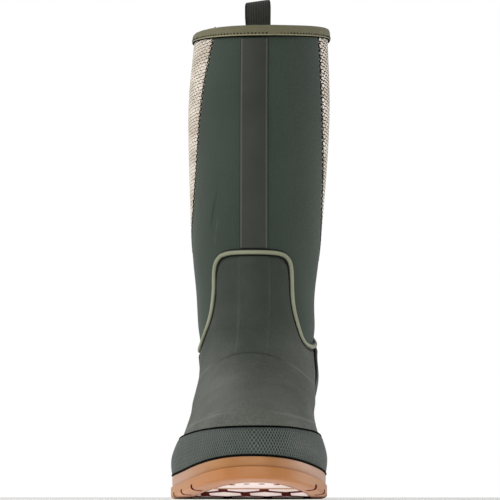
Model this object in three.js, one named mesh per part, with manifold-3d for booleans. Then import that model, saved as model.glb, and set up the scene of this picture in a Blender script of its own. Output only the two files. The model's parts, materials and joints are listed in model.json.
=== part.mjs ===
// A tall insulated pull-on boot for the right foot: a neoprene sock with a green front panel and
// knit side panels, a rubber foot shell edged with piping, and a gum rubber sole with tread pods.
// Millimetres, +Z up, toe towards -Y, the big toe's side towards +X, origin under the middle of the boot.
import * as THREE from "three";
import { mergeVertices } from "three/addons/utils/BufferGeometryUtils.js";
import Module from "manifold-3d";

const wasm = await Module();
wasm.setup();
const { lerp, clamp, degToRad, smoothstep } = THREE.MathUtils;

// ---- Driving sizes ----
const soleLength = 300;
const ballWidth = 115; // over the sole at the ball of the foot
const legAxisY = 66; // the shaft's middle, behind the middle of the sole
const collarHeight = 376; // top of the collar at the back
const collarDip = 19; // how much lower the collar is at the front
const collarWidth = 105.5;
const collarDepth = 146;
const calfWidth = 111.5;
const calfDepth = 150;
const calfHeight = 300;
const ankleWidth = 93;
const ankleDepth = 125;
const ankleHeight = 160;
const toeBoxHeight = 62;
const toeSpring = 14; // how far the sole curls up at the toe
const heelLift = 11; // how much higher the heel sits than the ball

// ---- Layers, from the foot outwards ----
const clearance = 0.3;
const liningThickness = 2;
const foamThickness = 5; // the neoprene
const rubberThickness = 2.3; // vamp and heel shells
const bumperThickness = 2.4;
const plyThickness = 1.2; // toe puff and heel stiffener
const stripThickness = 1.3;
const bindingThickness = 1.5;
const bindingHeight = 10;

// ---- Sole ----
const treadDepth = 3.4;
const treadWeb = 1.4; // the sheet that joins the lugs of one tread pod
const outsolePlate = 3; // gum rubber above the pods at the ball
const midsoleThickness = 5.6;
const bandHeight = 9;
const bandThickness = 2.8;
const rimOverhang = 0.8; // how far the outsole stands out past the band
const rimWidth = 12;
const archHeight = 6.5; // the sole's clearance under the arch
const boardThickness = 1.7;
const footbedThickness = 4;
const footbedCoverThickness = 1;
const shank = { length: 110, width: 16, thickness: 1.6 };
const lug = { across: 21, groove: 4.2 };

// ---- Trim ----
const shinStripWidth = 21.5;
const backStripWidth = 16;
const pipingWidth = 3.6;
const pipingHeight = 2.4;
const webbing = { width: 20, thickness: 1.5, tail: 26, loop: 31, belly: 5.2 };
const loopX = -4; // the pull loop is sewn a little to the outer side

// Heights of the sole's layers above the ground at the ball
const outsoleTop = treadDepth + treadWeb + clearance + outsolePlate;
const midsoleBottom = outsoleTop + clearance;
const midsoleTop = midsoleBottom + midsoleThickness;
const boardBottom = midsoleTop + clearance;
const boardTop = boardBottom + boardThickness;
const footbedBottom = boardTop + clearance;
const footbedTop = footbedBottom + footbedThickness;
const bandTop = midsoleBottom + bandHeight;

// Offsets of each layer's faces from the neoprene's outer face
const liningOuter = -foamThickness - clearance;
const liningInner = liningOuter - liningThickness;
const rubberInner = clearance;
const rubberOuter = rubberInner + rubberThickness;
const bumperInner = rubberOuter + clearance;
const bumperOuter = bumperInner + bumperThickness;
const bandInner = rubberOuter + clearance;
const bandOuter = bandInner + bandThickness;
const rimOuter = bandOuter + rimOverhang;

// ---- Small maths ----
// A smooth curve through evenly spaced values, read at x from 0 to values.length - 1
function through(values, x) {
  const last = values.length - 1;
  const i = clamp(Math.floor(x), 0, last - 1);
  const t = x - i;
  const [b, c] = [values[i], values[i + 1]];
  const a = i > 0 ? values[i - 1] : 2 * b - c;
  const d = i + 1 < last ? values[i + 2] : 2 * c - b;
  const slopeIn = (c - a) / 2;
  const slopeOut = (d - b) / 2;
  const t2 = t * t;
  const t3 = t2 * t;
  const start = (2 * t3 - 3 * t2 + 1) * b + (t3 - 2 * t2 + t) * slopeIn;
  return start + (3 * t2 - 2 * t3) * c + (t3 - t2) * slopeOut;
}

// Where x lies among rising stops: 0 at the first one, 1 at the second, and so on
function placeOn(stops, x) {
  const above = stops.findIndex((stop) => stop > x);
  const at = above < 0 ? stops.length - 1 : Math.max(above, 1);
  return at - 1 + clamp((x - stops[at - 1]) / (stops[at] - stops[at - 1]), 0, 1);
}

// A smooth line through [x, value] pairs
const along = (pairs, x) => through(pairs.map((p) => p[1]), placeOn(pairs.map((p) => p[0]), x));

// ---- The boot's surface: the outer face of the neoprene ----
// How much the sole's upper side rises above its height at the ball, at a place along the foot
function rise(y) {
  const toe = clamp((-y - 40) / (soleLength / 2 - 40), 0, 1);
  return toeSpring * toe ** 1.8 + heelLift * smoothstep(y, -15, 95);
}

// Levels up the boot: front [y, z], back [y, z], half width, and how round the section is
// (0 has the foot's outline, 1 is the leg's ellipse)
const toeY = -soleLength / 2 + rimOuter;
const heelY = soleLength / 2 - rimOuter;
const toeTop = boardBottom + toeSpring;
const heelTop = boardBottom + heelLift;
const soleHalf = ballWidth / 2 - rimOuter;
const frontOf = (depth) => legAxisY - depth / 2;
const backOf = (depth) => legAxisY + depth / 2;
const ankleHalf = ankleWidth / 2;
const shinHeight = ankleHeight + 45;
const shinHalf = (calfWidth + ankleWidth) / 4 - 0.2;
const shinDepth = (calfDepth + ankleDepth) / 2 - 1.5;
const levels = [
  { front: [toeY + 3, toeTop - 9], back: [heelY - 2, heelTop - 9], half: soleHalf - 1.5, leg: 0 },
  { front: [toeY, toeTop], back: [heelY, heelTop], half: soleHalf, leg: 0 },
  { front: [toeY - 0.5, toeTop + 10], back: [heelY + 2, heelTop + 9], half: soleHalf + 1.2, leg: 0 },
  { front: [toeY + 3, toeTop + 21], back: [heelY + 2.5, heelTop + 18], half: soleHalf - 2.6, leg: 0 },
  { front: [toeY + 12, toeBoxHeight - 6], back: [heelY + 1.5, heelTop + 28], half: ankleHalf - 0.8, leg: 0.08 },
  { front: [toeY + 27, toeBoxHeight + 1], back: [heelY, heelTop + 38], half: ankleHalf - 2.4, leg: 0.2 },
  { front: [toeY + 49, toeBoxHeight + 8], back: [heelY - 3, heelTop + 48], half: ankleHalf - 1.8, leg: 0.38 },
  { front: [toeY + 75, toeBoxHeight + 18], back: [heelY - 7, heelTop + 59], half: ankleHalf - 2.2, leg: 0.58 },
  { front: [toeY + 101, toeBoxHeight + 32], back: [heelY - 11, heelTop + 71], half: ankleHalf - 2.7, leg: 0.78 },
  { front: [toeY + 123, toeBoxHeight + 50], back: [heelY - 15, heelTop + 86], half: ankleHalf - 3.4, leg: 0.93 },
  { front: [frontOf(ankleDepth) - 3, ankleHeight - 26], back: [backOf(ankleDepth) - 1, ankleHeight - 26],
    half: ankleHalf - 0.9, leg: 1 },
  { front: [frontOf(ankleDepth), ankleHeight], back: [backOf(ankleDepth), ankleHeight], half: ankleHalf, leg: 1 },
  { front: [frontOf(shinDepth), shinHeight], back: [backOf(shinDepth), shinHeight], half: shinHalf, leg: 1 },
  { front: [frontOf(calfDepth), calfHeight], back: [backOf(calfDepth), calfHeight], half: calfWidth / 2, leg: 1 },
  { front: [frontOf(collarDepth), collarHeight - collarDip], back: [backOf(collarDepth), collarHeight],
    half: collarWidth / 2, leg: 1 },
  { front: [frontOf(collarDepth) + 1, collarHeight - collarDip + 30],
    back: [backOf(collarDepth) - 1, collarHeight + 30], half: collarWidth / 2 - 0.5, leg: 1 },
];
const soleLevel = 1;
const collarLevel = levels.length - 2;
const collarLevelHeight = collarHeight - calfHeight; // millimetres that the last level below the collar spans at the back
const column = (pick) => levels.map(pick);
const frontYs = column((l) => l.front[0]);
const frontZs = column((l) => l.front[1]);
const backYs = column((l) => l.back[0]);
const backZs = column((l) => l.back[1]);
const halves = column((l) => l.half);
const legShares = column((l) => l.leg);
// How strongly each level follows the sole's curve from toe to heel
const soleFollow = [1, 1, 0.75, 0.5, 0.3, 0.12, 0, 0, 0, 0, 0, 0, 0, 0, 0, 0];
// How far each level lies towards the inner side
const inward = [0.8, 0.8, 1, 1.5, 1.8, 2, 2.2, 2.3, 2, 0, -1.8, -2.8, -2, 0, 2.2, 2.2];

// The foot's outline from heel to toe, as shares of the half width on its inner and outer sides
const innerSide = [0.78, 0.72, 0.6, 0.66, 0.98, 1.15, 1.16];
const outerSide = [0.78, 0.73, 0.74, 0.96, 1.06, 0.97, 0.92];
const toeSwing = 0.15; // how far the toe's tip lies to the inner side, as a share of the half width

function footX(angle) {
  const c = Math.cos(angle);
  const s = Math.sin(angle);
  const place = ((c + 1) / 2) * (innerSide.length - 1);
  const share = through(s >= 0 ? innerSide : outerSide, place);
  return Math.sign(s) * Math.abs(s) ** 0.85 * share + toeSwing * clamp(c, 0, 1) ** 4;
}

// A point on the surface. The angle is 0 at the front and grows towards the inner side of the foot.
function surfacePoint(angle, level) {
  const c = Math.cos(angle);
  const back = (1 - c) / 2;
  const leg = clamp(through(legShares, level), 0, 1);
  const frontY = through(frontYs, level);
  const backY = through(backYs, level);
  const y = lerp(frontY, backY, back);
  const straight = lerp(rise(frontY), rise(backY), back);
  const sag = (rise(y) - straight) * through(soleFollow, level);
  const z = lerp(through(frontZs, level), through(backZs, level), back) + sag;
  const wide = lerp(leg < 1 ? footX(angle) : 0, Math.sin(angle), leg);
  return new THREE.Vector3(through(inward, level) + through(halves, level) * wide, y, z);
}

// The surface's outward normal, and a point set off along it
function surfaceNormal(angle, level) {
  const round = surfacePoint(angle + 0.03, level).sub(surfacePoint(angle - 0.03, level));
  const up = surfacePoint(angle, level + 0.04).sub(surfacePoint(angle, level - 0.04));
  return round.cross(up).normalize();
}
function offsetPoint(angle, level, offset) {
  return surfacePoint(angle, level).addScaledVector(surfaceNormal(angle, level), offset);
}

// The level at which the surface reaches a height
function levelAt(angle, height) {
  let [low, high] = [0, levels.length - 1];
  for (let i = 0; i < 30; i++) {
    const middle = (low + high) / 2;
    if (surfacePoint(angle, middle).z < height) low = middle;
    else high = middle;
  }
  return (low + high) / 2;
}

// ---- Solids ----
function solidFrom(geometry) {
  const bare = geometry.index ? geometry.toNonIndexed() : geometry.clone();
  bare.deleteAttribute("normal");
  bare.deleteAttribute("uv");
  const merged = mergeVertices(bare, 1e-4);
  const vertProperties = merged.attributes.position.array;
  const triVerts = new Uint32Array(merged.index.array);
  return new wasm.Manifold(new wasm.Mesh({ numProp: 3, vertProperties, triVerts }));
}

// A closed solid from rings of points: ring after ring, closed round each ring and from last to first.
// From the ring numbered turn on, the quads are split along their other diagonal.
function ringSolid(rings, turn = rings.length) {
  const count = rings[0].length;
  const points = rings.flat();
  const index = [];
  rings.forEach((ring, i) => {
    const next = (i + 1) % rings.length;
    for (let j = 0; j < count; j++) {
      const right = (j + 1) % count;
      const [a, b, c, d] = [i * count + j, i * count + right, next * count + right, next * count + j];
      if (i < turn) index.push(a, b, c, a, c, d);
      else index.push(a, b, d, b, c, d);
    }
  });
  const geometry = new THREE.BufferGeometry().setFromPoints(points).setIndex(index);
  const solid = solidFrom(geometry);
  if (solid.volume() >= 0) return solid;
  geometry.setIndex(index.reverse());
  return solidFrom(geometry);
}

const columns = 28;
const angles = Array.from({ length: columns }, (_, i) => (i / columns) * 2 * Math.PI);

// The rows that every layer shares, so that the layers' flat faces lie side by side
const rowLevels = [0, 1, 1.5, 2, 2.5, 3, 3.5, 4, 4.5, 5, 5.5, 6, 7, 8, 9, 10];
rowLevels.push(10.5, 11, 11.5, 12, 12.5, 13, 13.5, collarLevel, collarLevel + 1);

// A tube round the boot between two offsets from its surface and two levels
function layer(inner, outer, from, to) {
  const rows = [from, ...rowLevels.filter((l) => l > from + 0.05 && l < to - 0.05), to];
  const ring = (level, offset) => angles.map((a) => offsetPoint(a, level, offset));
  const outside = rows.map((l) => ring(l, outer));
  const inside = rows.map((l) => ring(l, inner)).reverse();
  return ringSolid([...outside, ...inside], outside.length);
}

// A box between two corners
function block(low, high) {
  const size = new THREE.Vector3(...high).sub(new THREE.Vector3(...low));
  const geometry = new THREE.BoxGeometry(size.x, size.y, size.z);
  geometry.translate(low[0] + size.x / 2, low[1] + size.y / 2, low[2] + size.z / 2);
  return solidFrom(geometry);
}

const far = 500;
const yStops = Array.from({ length: 31 }, (_, i) => lerp(-soleLength / 2 - 15, soleLength / 2 + 15, i / 30));

// The space between two heights that change along the foot, across its whole width
function slab(lower, upper, from = yStops[0], to = yStops.at(-1)) {
  const stops = [from, ...yStops.filter((y) => y > from + 1 && y < to - 1), to];
  const top = stops.map((y) => new THREE.Vector2(y, upper(y)));
  const bottom = stops.map((y) => new THREE.Vector2(y, lower(y))).reverse();
  const shape = new THREE.Shape([...bottom, ...top]);
  const geometry = new THREE.ExtrudeGeometry(shape, { depth: 2 * ballWidth, bevelEnabled: false });
  // The shape's x and y become Y and Z, and the depth runs along X
  geometry.applyMatrix4(new THREE.Matrix4().set(0, 0, 1, -ballWidth, 1, 0, 0, 0, 0, 1, 0, 0, 0, 0, 0, 1));
  return solidFrom(geometry);
}
const risen = (height) => (y) => height + rise(y);
const flat = (height) => () => height;

// An upright prism on the sole's outline, grown or shrunk by an offset
const outlineSteps = 44;
function prism(offset, top = far / 4) {
  const points = [];
  for (let i = 0; i < outlineSteps; i++) {
    const angle = (i / outlineSteps) * 2 * Math.PI;
    const normal = surfaceNormal(angle, soleLevel).setZ(0).normalize();
    const p = surfacePoint(angle, soleLevel).addScaledVector(normal, offset);
    points.push(new THREE.Vector2(p.x, p.y));
  }
  const geometry = new THREE.ExtrudeGeometry(new THREE.Shape(points), { depth: top + 10, bevelEnabled: false });
  return solidFrom(geometry.translate(0, 0, -10));
}

// ---- Lines on the boot ----
// The foot shell's upper edge as [degrees from the front, height]: an arch over the shin that drops
// to the ankle and climbs again to the heel
const archTop = 183;
const ankleDrop = 112.5;
const heelShellTop = 143;
const outerEdge = [
  [9, archTop], [18, archTop - 0.2], [22.7, archTop - 1], [25.7, archTop - 2], [29.5, archTop - 5.5], [31.6, archTop - 11],
  [32.4, archTop - 17], [33.2, archTop - 25], [35.8, ankleDrop + 34.5], [39, ankleDrop + 26.5], [44, ankleDrop + 19],
  [52.3, ankleDrop + 11.5], [62.9, ankleDrop + 4.5], [72, ankleDrop + 0.8], [84, ankleDrop - 0.5], [95, ankleDrop + 0.5],
  [104, ankleDrop + 2.8], [116, ankleDrop + 8], [130, heelShellTop - 14], [145, heelShellTop - 7], [162, heelShellTop - 2],
];
const innerEdge = [
  [11, archTop], [21.3, archTop - 0.2], [25.9, archTop - 0.8], [29.3, archTop - 1.8], [33, archTop - 5], [35, archTop - 10],
  [36.3, archTop - 17.5], [37.1, archTop - 25], [38.4, ankleDrop + 34.2], [40.7, ankleDrop + 25], [45.7, ankleDrop + 14.5],
  [51.5, ankleDrop + 6.8], [59.7, ankleDrop + 1.8], [70.9, ankleDrop + 0.5], [82, ankleDrop + 2], [94, ankleDrop + 4.9],
  [104, ankleDrop + 7.6], [116, ankleDrop + 12], [130, heelShellTop - 11.5], [145, heelShellTop - 5.5], [162, heelShellTop - 1.5],
];
function archCurve() {
  const inner = innerEdge.map(([degrees, z]) => new THREE.Vector3(degrees, z, 0));
  const outer = outerEdge.map(([degrees, z]) => new THREE.Vector3(360 - degrees, z, 0)).reverse();
  const [front, back] = [new THREE.Vector3(0, archTop, 0), new THREE.Vector3(180, heelShellTop, 0)];
  const end = new THREE.Vector3(360, archTop, 0);
  return new THREE.CatmullRomCurve3([front, ...inner, back, ...outer, end], false, "centripetal");
}

// Points along the foot shell's edge, each with its surface normal and the direction up the boot
const edgeSteps = 88;
const edge = archCurve()
  .getPoints(edgeSteps)
  .slice(0, edgeSteps)
  .map((p) => {
    const angle = degToRad(p.x);
    const level = levelAt(angle, p.y);
    return { point: surfacePoint(angle, level), normal: surfaceNormal(angle, level) };
  });
edge.forEach((here, i) => {
  const next = edge[(i + 1) % edgeSteps].point;
  const last = edge[(i + edgeSteps - 1) % edgeSteps].point;
  here.up = here.normal.clone().cross(next.clone().sub(last)).normalize();
});

// Everything above the foot shell's edge, moved up or down the boot by a distance
function aboveEdge(shift) {
  const at = (e, offset, height) => {
    const out = e.normal.clone().setZ(0).normalize();
    const p = e.point.clone().addScaledVector(e.up, shift).addScaledVector(out, offset);
    return height === undefined ? p : p.setZ(height);
  };
  const lowIn = edge.map((e) => at(e, -22));
  const lowOut = edge.map((e) => at(e, 24));
  const highOut = edge.map((e) => at(e, 24, far));
  const highIn = edge.map((e) => at(e, -22, far));
  return ringSolid([lowIn, lowOut, highOut, highIn]);
}

// The seams between the front panel and the side panels, as [height, outer side, inner side] in degrees
const seams = [
  [ankleDrop - 30, 150, 150], [ankleDrop, 142, 142], [150, 121, 122], [172, 105, 108], [194, 88, 95],
  [222, 69, 83], [252, 58, 77], [calfHeight - 17, 52.3, 70], [calfHeight + 15, 47, 65],
  [calfHeight + 45, 41.5, 63.5], [calfHeight + 65, 38.5, 61.5], [calfHeight + 125, 34, 58],
];
const fanSteps = 12;
const fanRings = 26;
function frontSector(gapDegrees) {
  const [lowest, highest] = [seams[0][0], seams.at(-1)[0]];
  const heights = Array.from({ length: fanRings + 1 }, (_, i) => lerp(lowest, highest, i / fanRings));
  const rings = heights.map((z) => {
    const place = placeOn(seams.map((seam) => seam[0]), z);
    const outer = through(seams.map((seam) => seam[1]), place);
    const inner = through(seams.map((seam) => seam[2]), place);
    const ring = [new THREE.Vector3(0, legAxisY, z)];
    for (let i = 0; i <= fanSteps; i++) {
      const degrees = lerp(-outer - gapDegrees, inner + gapDegrees, i / fanSteps);
      const angle = degToRad(degrees);
      const p = surfacePoint(angle, levelAt(angle, z));
      const away = new THREE.Vector3(p.x, p.y - legAxisY, 0).setLength(0.62 * calfDepth);
      ring.push(new THREE.Vector3(away.x, legAxisY + away.y, z));
    }
    return ring;
  });
  const points = rings.flat();
  const count = fanSteps + 2;
  const index = [];
  for (let k = 0; k + 1 < rings.length; k++)
    for (let j = 0; j < count; j++) {
      const right = (j + 1) % count;
      const [a, b] = [k * count + j, k * count + right];
      index.push(a, b, b + count, a, b + count, a + count);
    }
  const lastRing = (rings.length - 1) * count;
  for (let j = 1; j + 1 < count; j++) {
    index.push(0, j + 1, j);
    index.push(lastRing, lastRing + j, lastRing + j + 1);
  }
  return solidFrom(new THREE.BufferGeometry().setFromPoints(points).setIndex(index));
}

// ---- The upper ----
const underSole = slab(flat(-60), risen(boardBottom));
const underBoard = slab(flat(-60), risen(boardTop + clearance));
const sealing = bindingThickness + clearance; // room for the binding over the collar's raw edge

// Stiffening plies let into the outside of the sock: the regions that they cover
function plyRegion(name, grow) {
  const wide = ballWidth;
  const low = (height) => slab(risen(height - grow), flat(far));
  if (name === "toe_puff") return low(boardTop + 4).intersect(block([-wide, -far, 0], [wide, -86 + grow, far]));
  return low(boardTop + 4).intersect(block([-wide, legAxisY + 12 - grow, 0], [wide, far, heelTop + 78 + grow]));
}
const plyNames = ["toe_puff", "heel_stiffener"];
const ply = (name) => layer(-plyThickness, 0, 0, 10).intersect(plyRegion(name, 0));
const plyPockets = () =>
  layer(-plyThickness - clearance, 1, 0, 10).intersect(
    wasm.Manifold.union(plyNames.map((name) => plyRegion(name, clearance))),
  );

const sock = layer(-foamThickness, 0, 0, collarLevel).subtract(underBoard);
const panelOverlap = 9; // how far the shaft panels run down inside the foot shell
const footBootie = sock.subtract(aboveEdge(-panelOverlap - 2 * clearance)).subtract(plyPockets());
const shaft = sock.intersect(aboveEdge(-panelOverlap));
const frontPanel = shaft.intersect(frontSector(0));
const sidePanels = shaft.subtract(frontSector(0.4));
const innerHalf = block([clearance / 2, -far, -far], [far, far, far]);
const outerHalf = block([-far, -far, -far], [-clearance / 2, far, far]);

const lining = layer(liningInner, liningOuter, 0, collarLevel).subtract(underBoard);
const rubber = layer(rubberInner, rubberOuter, 0, 12).subtract(underSole).subtract(aboveEdge(0));
const shellSplitY = 44; // where the vamp shell meets the heel shell at the sides
const vampShell = rubber.intersect(block([-far, -far, -far], [far, shellSplitY, far]));
const heelShell = rubber.intersect(block([-far, shellSplitY + clearance, -far], [far, far, far]));

// The bumpers' upper edges, along the foot
const toeBumperTop = [[-150, 47], [-125, 45.8], [-80, 43.5], [-45, 41], [0, 39.5], [30, 40], [200, 40]];
const heelBumperTop = [[-200, 40], [30, 40], [70, 46], [110, 53], [150, 56]];
const bumperJoinY = 26;
const bumperRing = layer(bumperInner, bumperOuter, 0, 6);
function bumper(top, from, to) {
  const region = slab(risen(bandTop + clearance), (y) => along(top, y), from, to);
  return bumperRing.intersect(region);
}

const bindingLevels = bindingHeight / collarLevelHeight;
const edgeLevels = (distance) => collarLevel + distance / 30; // above the collar a level spans 30 mm
function collarBinding() {
  const whole = layer(liningInner - sealing, sealing, collarLevel - bindingLevels, edgeLevels(sealing));
  return whole.subtract(layer(liningInner - clearance, clearance, collarLevel - 1, edgeLevels(clearance)));
}

const belowBinding = collarLevel - bindingLevels - clearance / collarLevelHeight;
const stripLayer = layer(clearance, clearance + stripThickness, 9, belowBinding);
function strip(width, side) {
  const from = side > 0 ? legAxisY : -far;
  const to = side > 0 ? far : legAxisY;
  const box = block([-width / 2, from, -far], [width / 2, to, far]);
  return stripLayer.intersect(box).intersect(aboveEdge(pipingWidth + 6 * clearance));
}

// The piping: a rounded bead that lies on the sock, just above the foot shell's edge
function piping() {
  const section = [
    [0, 0], [1, 0], [1, 0.6], [0.7, 1], [0.3, 1], [0, 0.6],
  ];
  const rings = edge.map((e) =>
    section.map(([across, out]) => {
      const p = e.point.clone().addScaledVector(e.up, 4 * clearance + across * pipingWidth);
      return p.addScaledVector(e.normal, 3 * clearance + out * pipingHeight);
    }),
  );
  return ringSolid(rings);
}

// ---- The pull loop at the back of the collar ----
const tailOuter = liningInner - sealing - clearance;
const tailInner = tailOuter - 2 * webbing.thickness;
const collarBack = offsetPoint(Math.PI, collarLevel, 0);
const tailMiddle = offsetPoint(Math.PI, collarLevel, (tailOuter + tailInner) / 2);
const hinge = { y: tailMiddle.y, z: collarBack.z + sealing + 2.5 };
const rootRadius = webbing.thickness;
const tailTop = hinge.z - rootRadius - clearance;

function pullLoopTail() {
  const half = webbing.width / 2;
  const band = layer(tailInner, tailOuter, collarLevel - 1, collarLevel + 0.8);
  return band.intersect(block([loopX - half, legAxisY, tailTop - webbing.tail], [loopX + half, far, tailTop]));
}

// A solid with a side view drawn from the hinge, with the view's x and y as Y and Z
function sideView(points, width) {
  const shape = new THREE.Shape(points);
  const geometry = new THREE.ExtrudeGeometry(shape, { depth: width, bevelEnabled: false });
  const place = [0, 0, 1, loopX - width / 2, 1, 0, 0, hinge.y, 0, 1, 0, hinge.z, 0, 0, 0, 1];
  return solidFrom(geometry.applyMatrix4(new THREE.Matrix4().set(...place)));
}

// The free loop is a teardrop that stands on its hinge
function teardrop(grow, foot, footY) {
  const r = webbing.belly + grow;
  const middle = webbing.loop - webbing.belly - webbing.thickness / 2;
  const path = new THREE.Path();
  path.moveTo(-foot, footY);
  path.bezierCurveTo(-foot, middle * 0.4, -r, middle * 0.5, -r, middle);
  path.absarc(0, middle, r, Math.PI, 0, true);
  path.bezierCurveTo(r, middle * 0.5, foot, middle * 0.4, foot, footY);
  return path;
}
function pullLoop() {
  const outline = teardrop(webbing.thickness / 2, rootRadius, 0);
  outline.absarc(0, 0, rootRadius, 0, -Math.PI, true);
  const outside = sideView(outline.getPoints(8).slice(0, -1), webbing.width);
  const inside = sideView(teardrop(-webbing.thickness / 2, 0.4, 6).getPoints(8), webbing.width + 2);
  return outside.subtract(inside);
}

// ---- The sole ----
// The outsole's underside: on the ground at the ball and heel, raised under the arch, curled at the toe
function underside(y) {
  const toe = toeSpring * clamp((-y - 40) / (soleLength / 2 - 40), 0, 1) ** 1.8;
  const arch = Math.min(smoothstep(y, 6, 26), 1 - smoothstep(y, 72, 88));
  return toe + archHeight * arch;
}
const underTread = (height) => (y) => height + toeSpring * clamp((-y - 40) / (soleLength / 2 - 40), 0, 1) ** 1.8;
const podRanges = {
  toe_tread: [-soleLength / 2 + 12, -118],
  forefoot_tread: [-114, 4],
  heel_tread: [92, soleLength / 2 - 12],
};
const podInset = rimOuter - rimWidth;
const wholePocket = (grow) => prism(podInset + grow, 40);
function podSpace(name, grow, top) {
  const [from, to] = podRanges[name];
  return slab(flat(-20), underTread(top), from - grow, to + grow).intersect(wholePocket(grow));
}

function outsole() {
  let gum = prism(rimOuter, 60).intersect(slab(underside, risen(outsoleTop)));
  for (const name of Object.keys(podRanges))
    gum = gum.subtract(podSpace(name, clearance, treadDepth + treadWeb + clearance));
  // Slits across the rim beside the ball of the foot
  for (const side of [-1, 1])
    for (const y of [-92, -72, -52, -32, -12]) {
      const x = side * (ballWidth / 2);
      gum = gum.subtract(block([Math.min(x, x - side * 7), y - 1, -5], [Math.max(x, x - side * 7), y + 1, 2.5]));
    }
  return gum;
}

// A lug is a short prism with six sides; its points lie across the foot
function lugPrism(x, y, size) {
  const geometry = new THREE.CylinderGeometry(size, size, 40, 6);
  return solidFrom(geometry.rotateX(Math.PI / 2).translate(x, y, 0));
}

function treadPod(name) {
  const [from, to] = podRanges[name];
  const web = podSpace(name, 0, treadDepth + treadWeb).intersect(slab(underTread(treadDepth), flat(far)));
  const size = lug.across / Math.sqrt(3);
  const pitch = lug.across + lug.groove;
  const rowPitch = (pitch * Math.sqrt(3)) / 2;
  const lugs = [];
  const rows = Math.ceil((to - from) / rowPitch);
  for (let row = 0; row <= rows; row++)
    for (let i = -3; i <= 3; i++) {
      const x = (i + (row % 2) / 2) * pitch;
      lugs.push(lugPrism(x, from + row * rowPitch, size));
    }
  const room = podSpace(name, 0, treadDepth + treadWeb).intersect(slab(underTread(0), flat(far)));
  const biggest = (solid) => solid.decompose().sort((a, b) => b.volume() - a.volume())[0];
  return biggest(web.add(wasm.Manifold.union(lugs).intersect(room)));
}

const midsoleBand = () =>
  prism(bandOuter, 60)
    .subtract(prism(bandInner, 80))
    .subtract(layer(-foamThickness, bandInner, 0, 4))
    .intersect(slab(risen(midsoleBottom), risen(bandTop)));

const shankMiddleY = 45;
function shankSpace(grow) {
  const half = shank.width / 2 + grow;
  const [from, to] = [shankMiddleY - shank.length / 2 - grow, shankMiddleY + shank.length / 2 + grow];
  const thick = slab(risen(midsoleTop - shank.thickness - grow), risen(midsoleTop + (grow ? 5 : 0)), from, to);
  return thick.intersect(block([-half, -far, -far], [half, far, far]));
}
const midsoleCore = () =>
  prism(rubberOuter, 60).intersect(slab(risen(midsoleBottom), risen(midsoleTop))).subtract(shankSpace(clearance));

const insoleBoard = () =>
  prism(-clearance, 60)
    .subtract(layer(-clearance, rubberOuter, 0, 3))
    .intersect(slab(risen(boardBottom), risen(boardTop)));
const insideLining = liningInner - 1.6;
const footbed = () => prism(insideLining, 60).intersect(slab(risen(footbedBottom), risen(footbedTop)));
const footbedCover = () =>
  prism(insideLining, 60).intersect(
    slab(risen(footbedTop + clearance), risen(footbedTop + clearance + footbedCoverThickness)),
  );

// ---- The assembly ----
const boot = new THREE.Group();
function addPart(name, solid, color, roughness, metalness = 0) {
  const mesh = solid.getMesh();
  const geometry = new THREE.BufferGeometry();
  const positions = new Float32Array(mesh.numVert * 3);
  for (let i = 0; i < mesh.numVert; i++) {
    const at = i * mesh.numProp;
    positions.set(mesh.vertProperties.subarray(at, at + 3), i * 3);
  }
  geometry.setAttribute("position", new THREE.BufferAttribute(positions, 3));
  geometry.setIndex(new THREE.BufferAttribute(mesh.triVerts, 1));
  const part = new THREE.Mesh(geometry, new THREE.MeshStandardMaterial({ color, roughness, metalness }));
  part.name = name;
  boot.add(part);
}

const green = 0x3d4a41;
const rubberGreen = 0x3f423b;
const gum = 0xc08a58;
const knit = 0xc9bda9;
addPart("outsole", outsole(), gum, 0.55);
for (const name of Object.keys(podRanges)) addPart(name, treadPod(name), 0xd9cdbf, 0.6);
addPart("midsole_band", midsoleBand(), gum, 0.5);
addPart("midsole_core", midsoleCore(), 0x2b2b2b, 0.9);
addPart("shank", shankSpace(0), 0x8c8f92, 0.4, 1);
addPart("insole_board", insoleBoard(), 0xb9a27c, 0.9);
addPart("footbed", footbed(), 0x30363a, 0.9);
addPart("footbed_cover", footbedCover(), 0x4b4f4a, 0.95);
addPart("foot_bootie", footBootie, 0x26292a, 0.9);
addPart("front_panel", frontPanel, green, 0.8);
addPart("inner_side_panel", sidePanels.intersect(innerHalf), knit, 0.95);
addPart("outer_side_panel", sidePanels.intersect(outerHalf), knit, 0.95);
addPart("lining", lining, 0x6a6d66, 0.95);
for (const name of plyNames) addPart(name, ply(name), 0x1f2120, 0.8);
addPart("vamp_shell", vampShell, rubberGreen, 0.6);
addPart("heel_shell", heelShell, rubberGreen, 0.6);
addPart("toe_bumper", bumper(toeBumperTop, -soleLength / 2 - 10, bumperJoinY), 0x2f3a34, 0.6);
addPart("heel_bumper", bumper(heelBumperTop, bumperJoinY + clearance, soleLength / 2 + 10), 0x2f3a34, 0.6);
addPart("shin_strip", strip(shinStripWidth, -1), rubberGreen, 0.6);
addPart("back_strip", strip(backStripWidth, 1), rubberGreen, 0.6);
addPart("piping", piping(), 0x8f9881, 0.6);
addPart("collar_binding", collarBinding(), 0x77745b, 0.8);
addPart("pull_loop_tail", pullLoopTail(), 0x2b2c2a, 0.8);
addPart("pull_loop", pullLoop(), 0x2b2c2a, 0.8);

export default boot;
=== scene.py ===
# Looks for a tall insulated pull-on boot: neoprene shaft, knit sides, rubber foot shell and gum sole.
# Shapes are worked out in millimetres, with the toe towards -Y and the big toe's side towards +X. Each layer
# lies on the last, by an angle round it (0 at the toe, positive on the inner side) and a level up it.
import json
import math

import bmesh
import bpy
import numpy as np
from mathutils import Matrix, Vector


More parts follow.
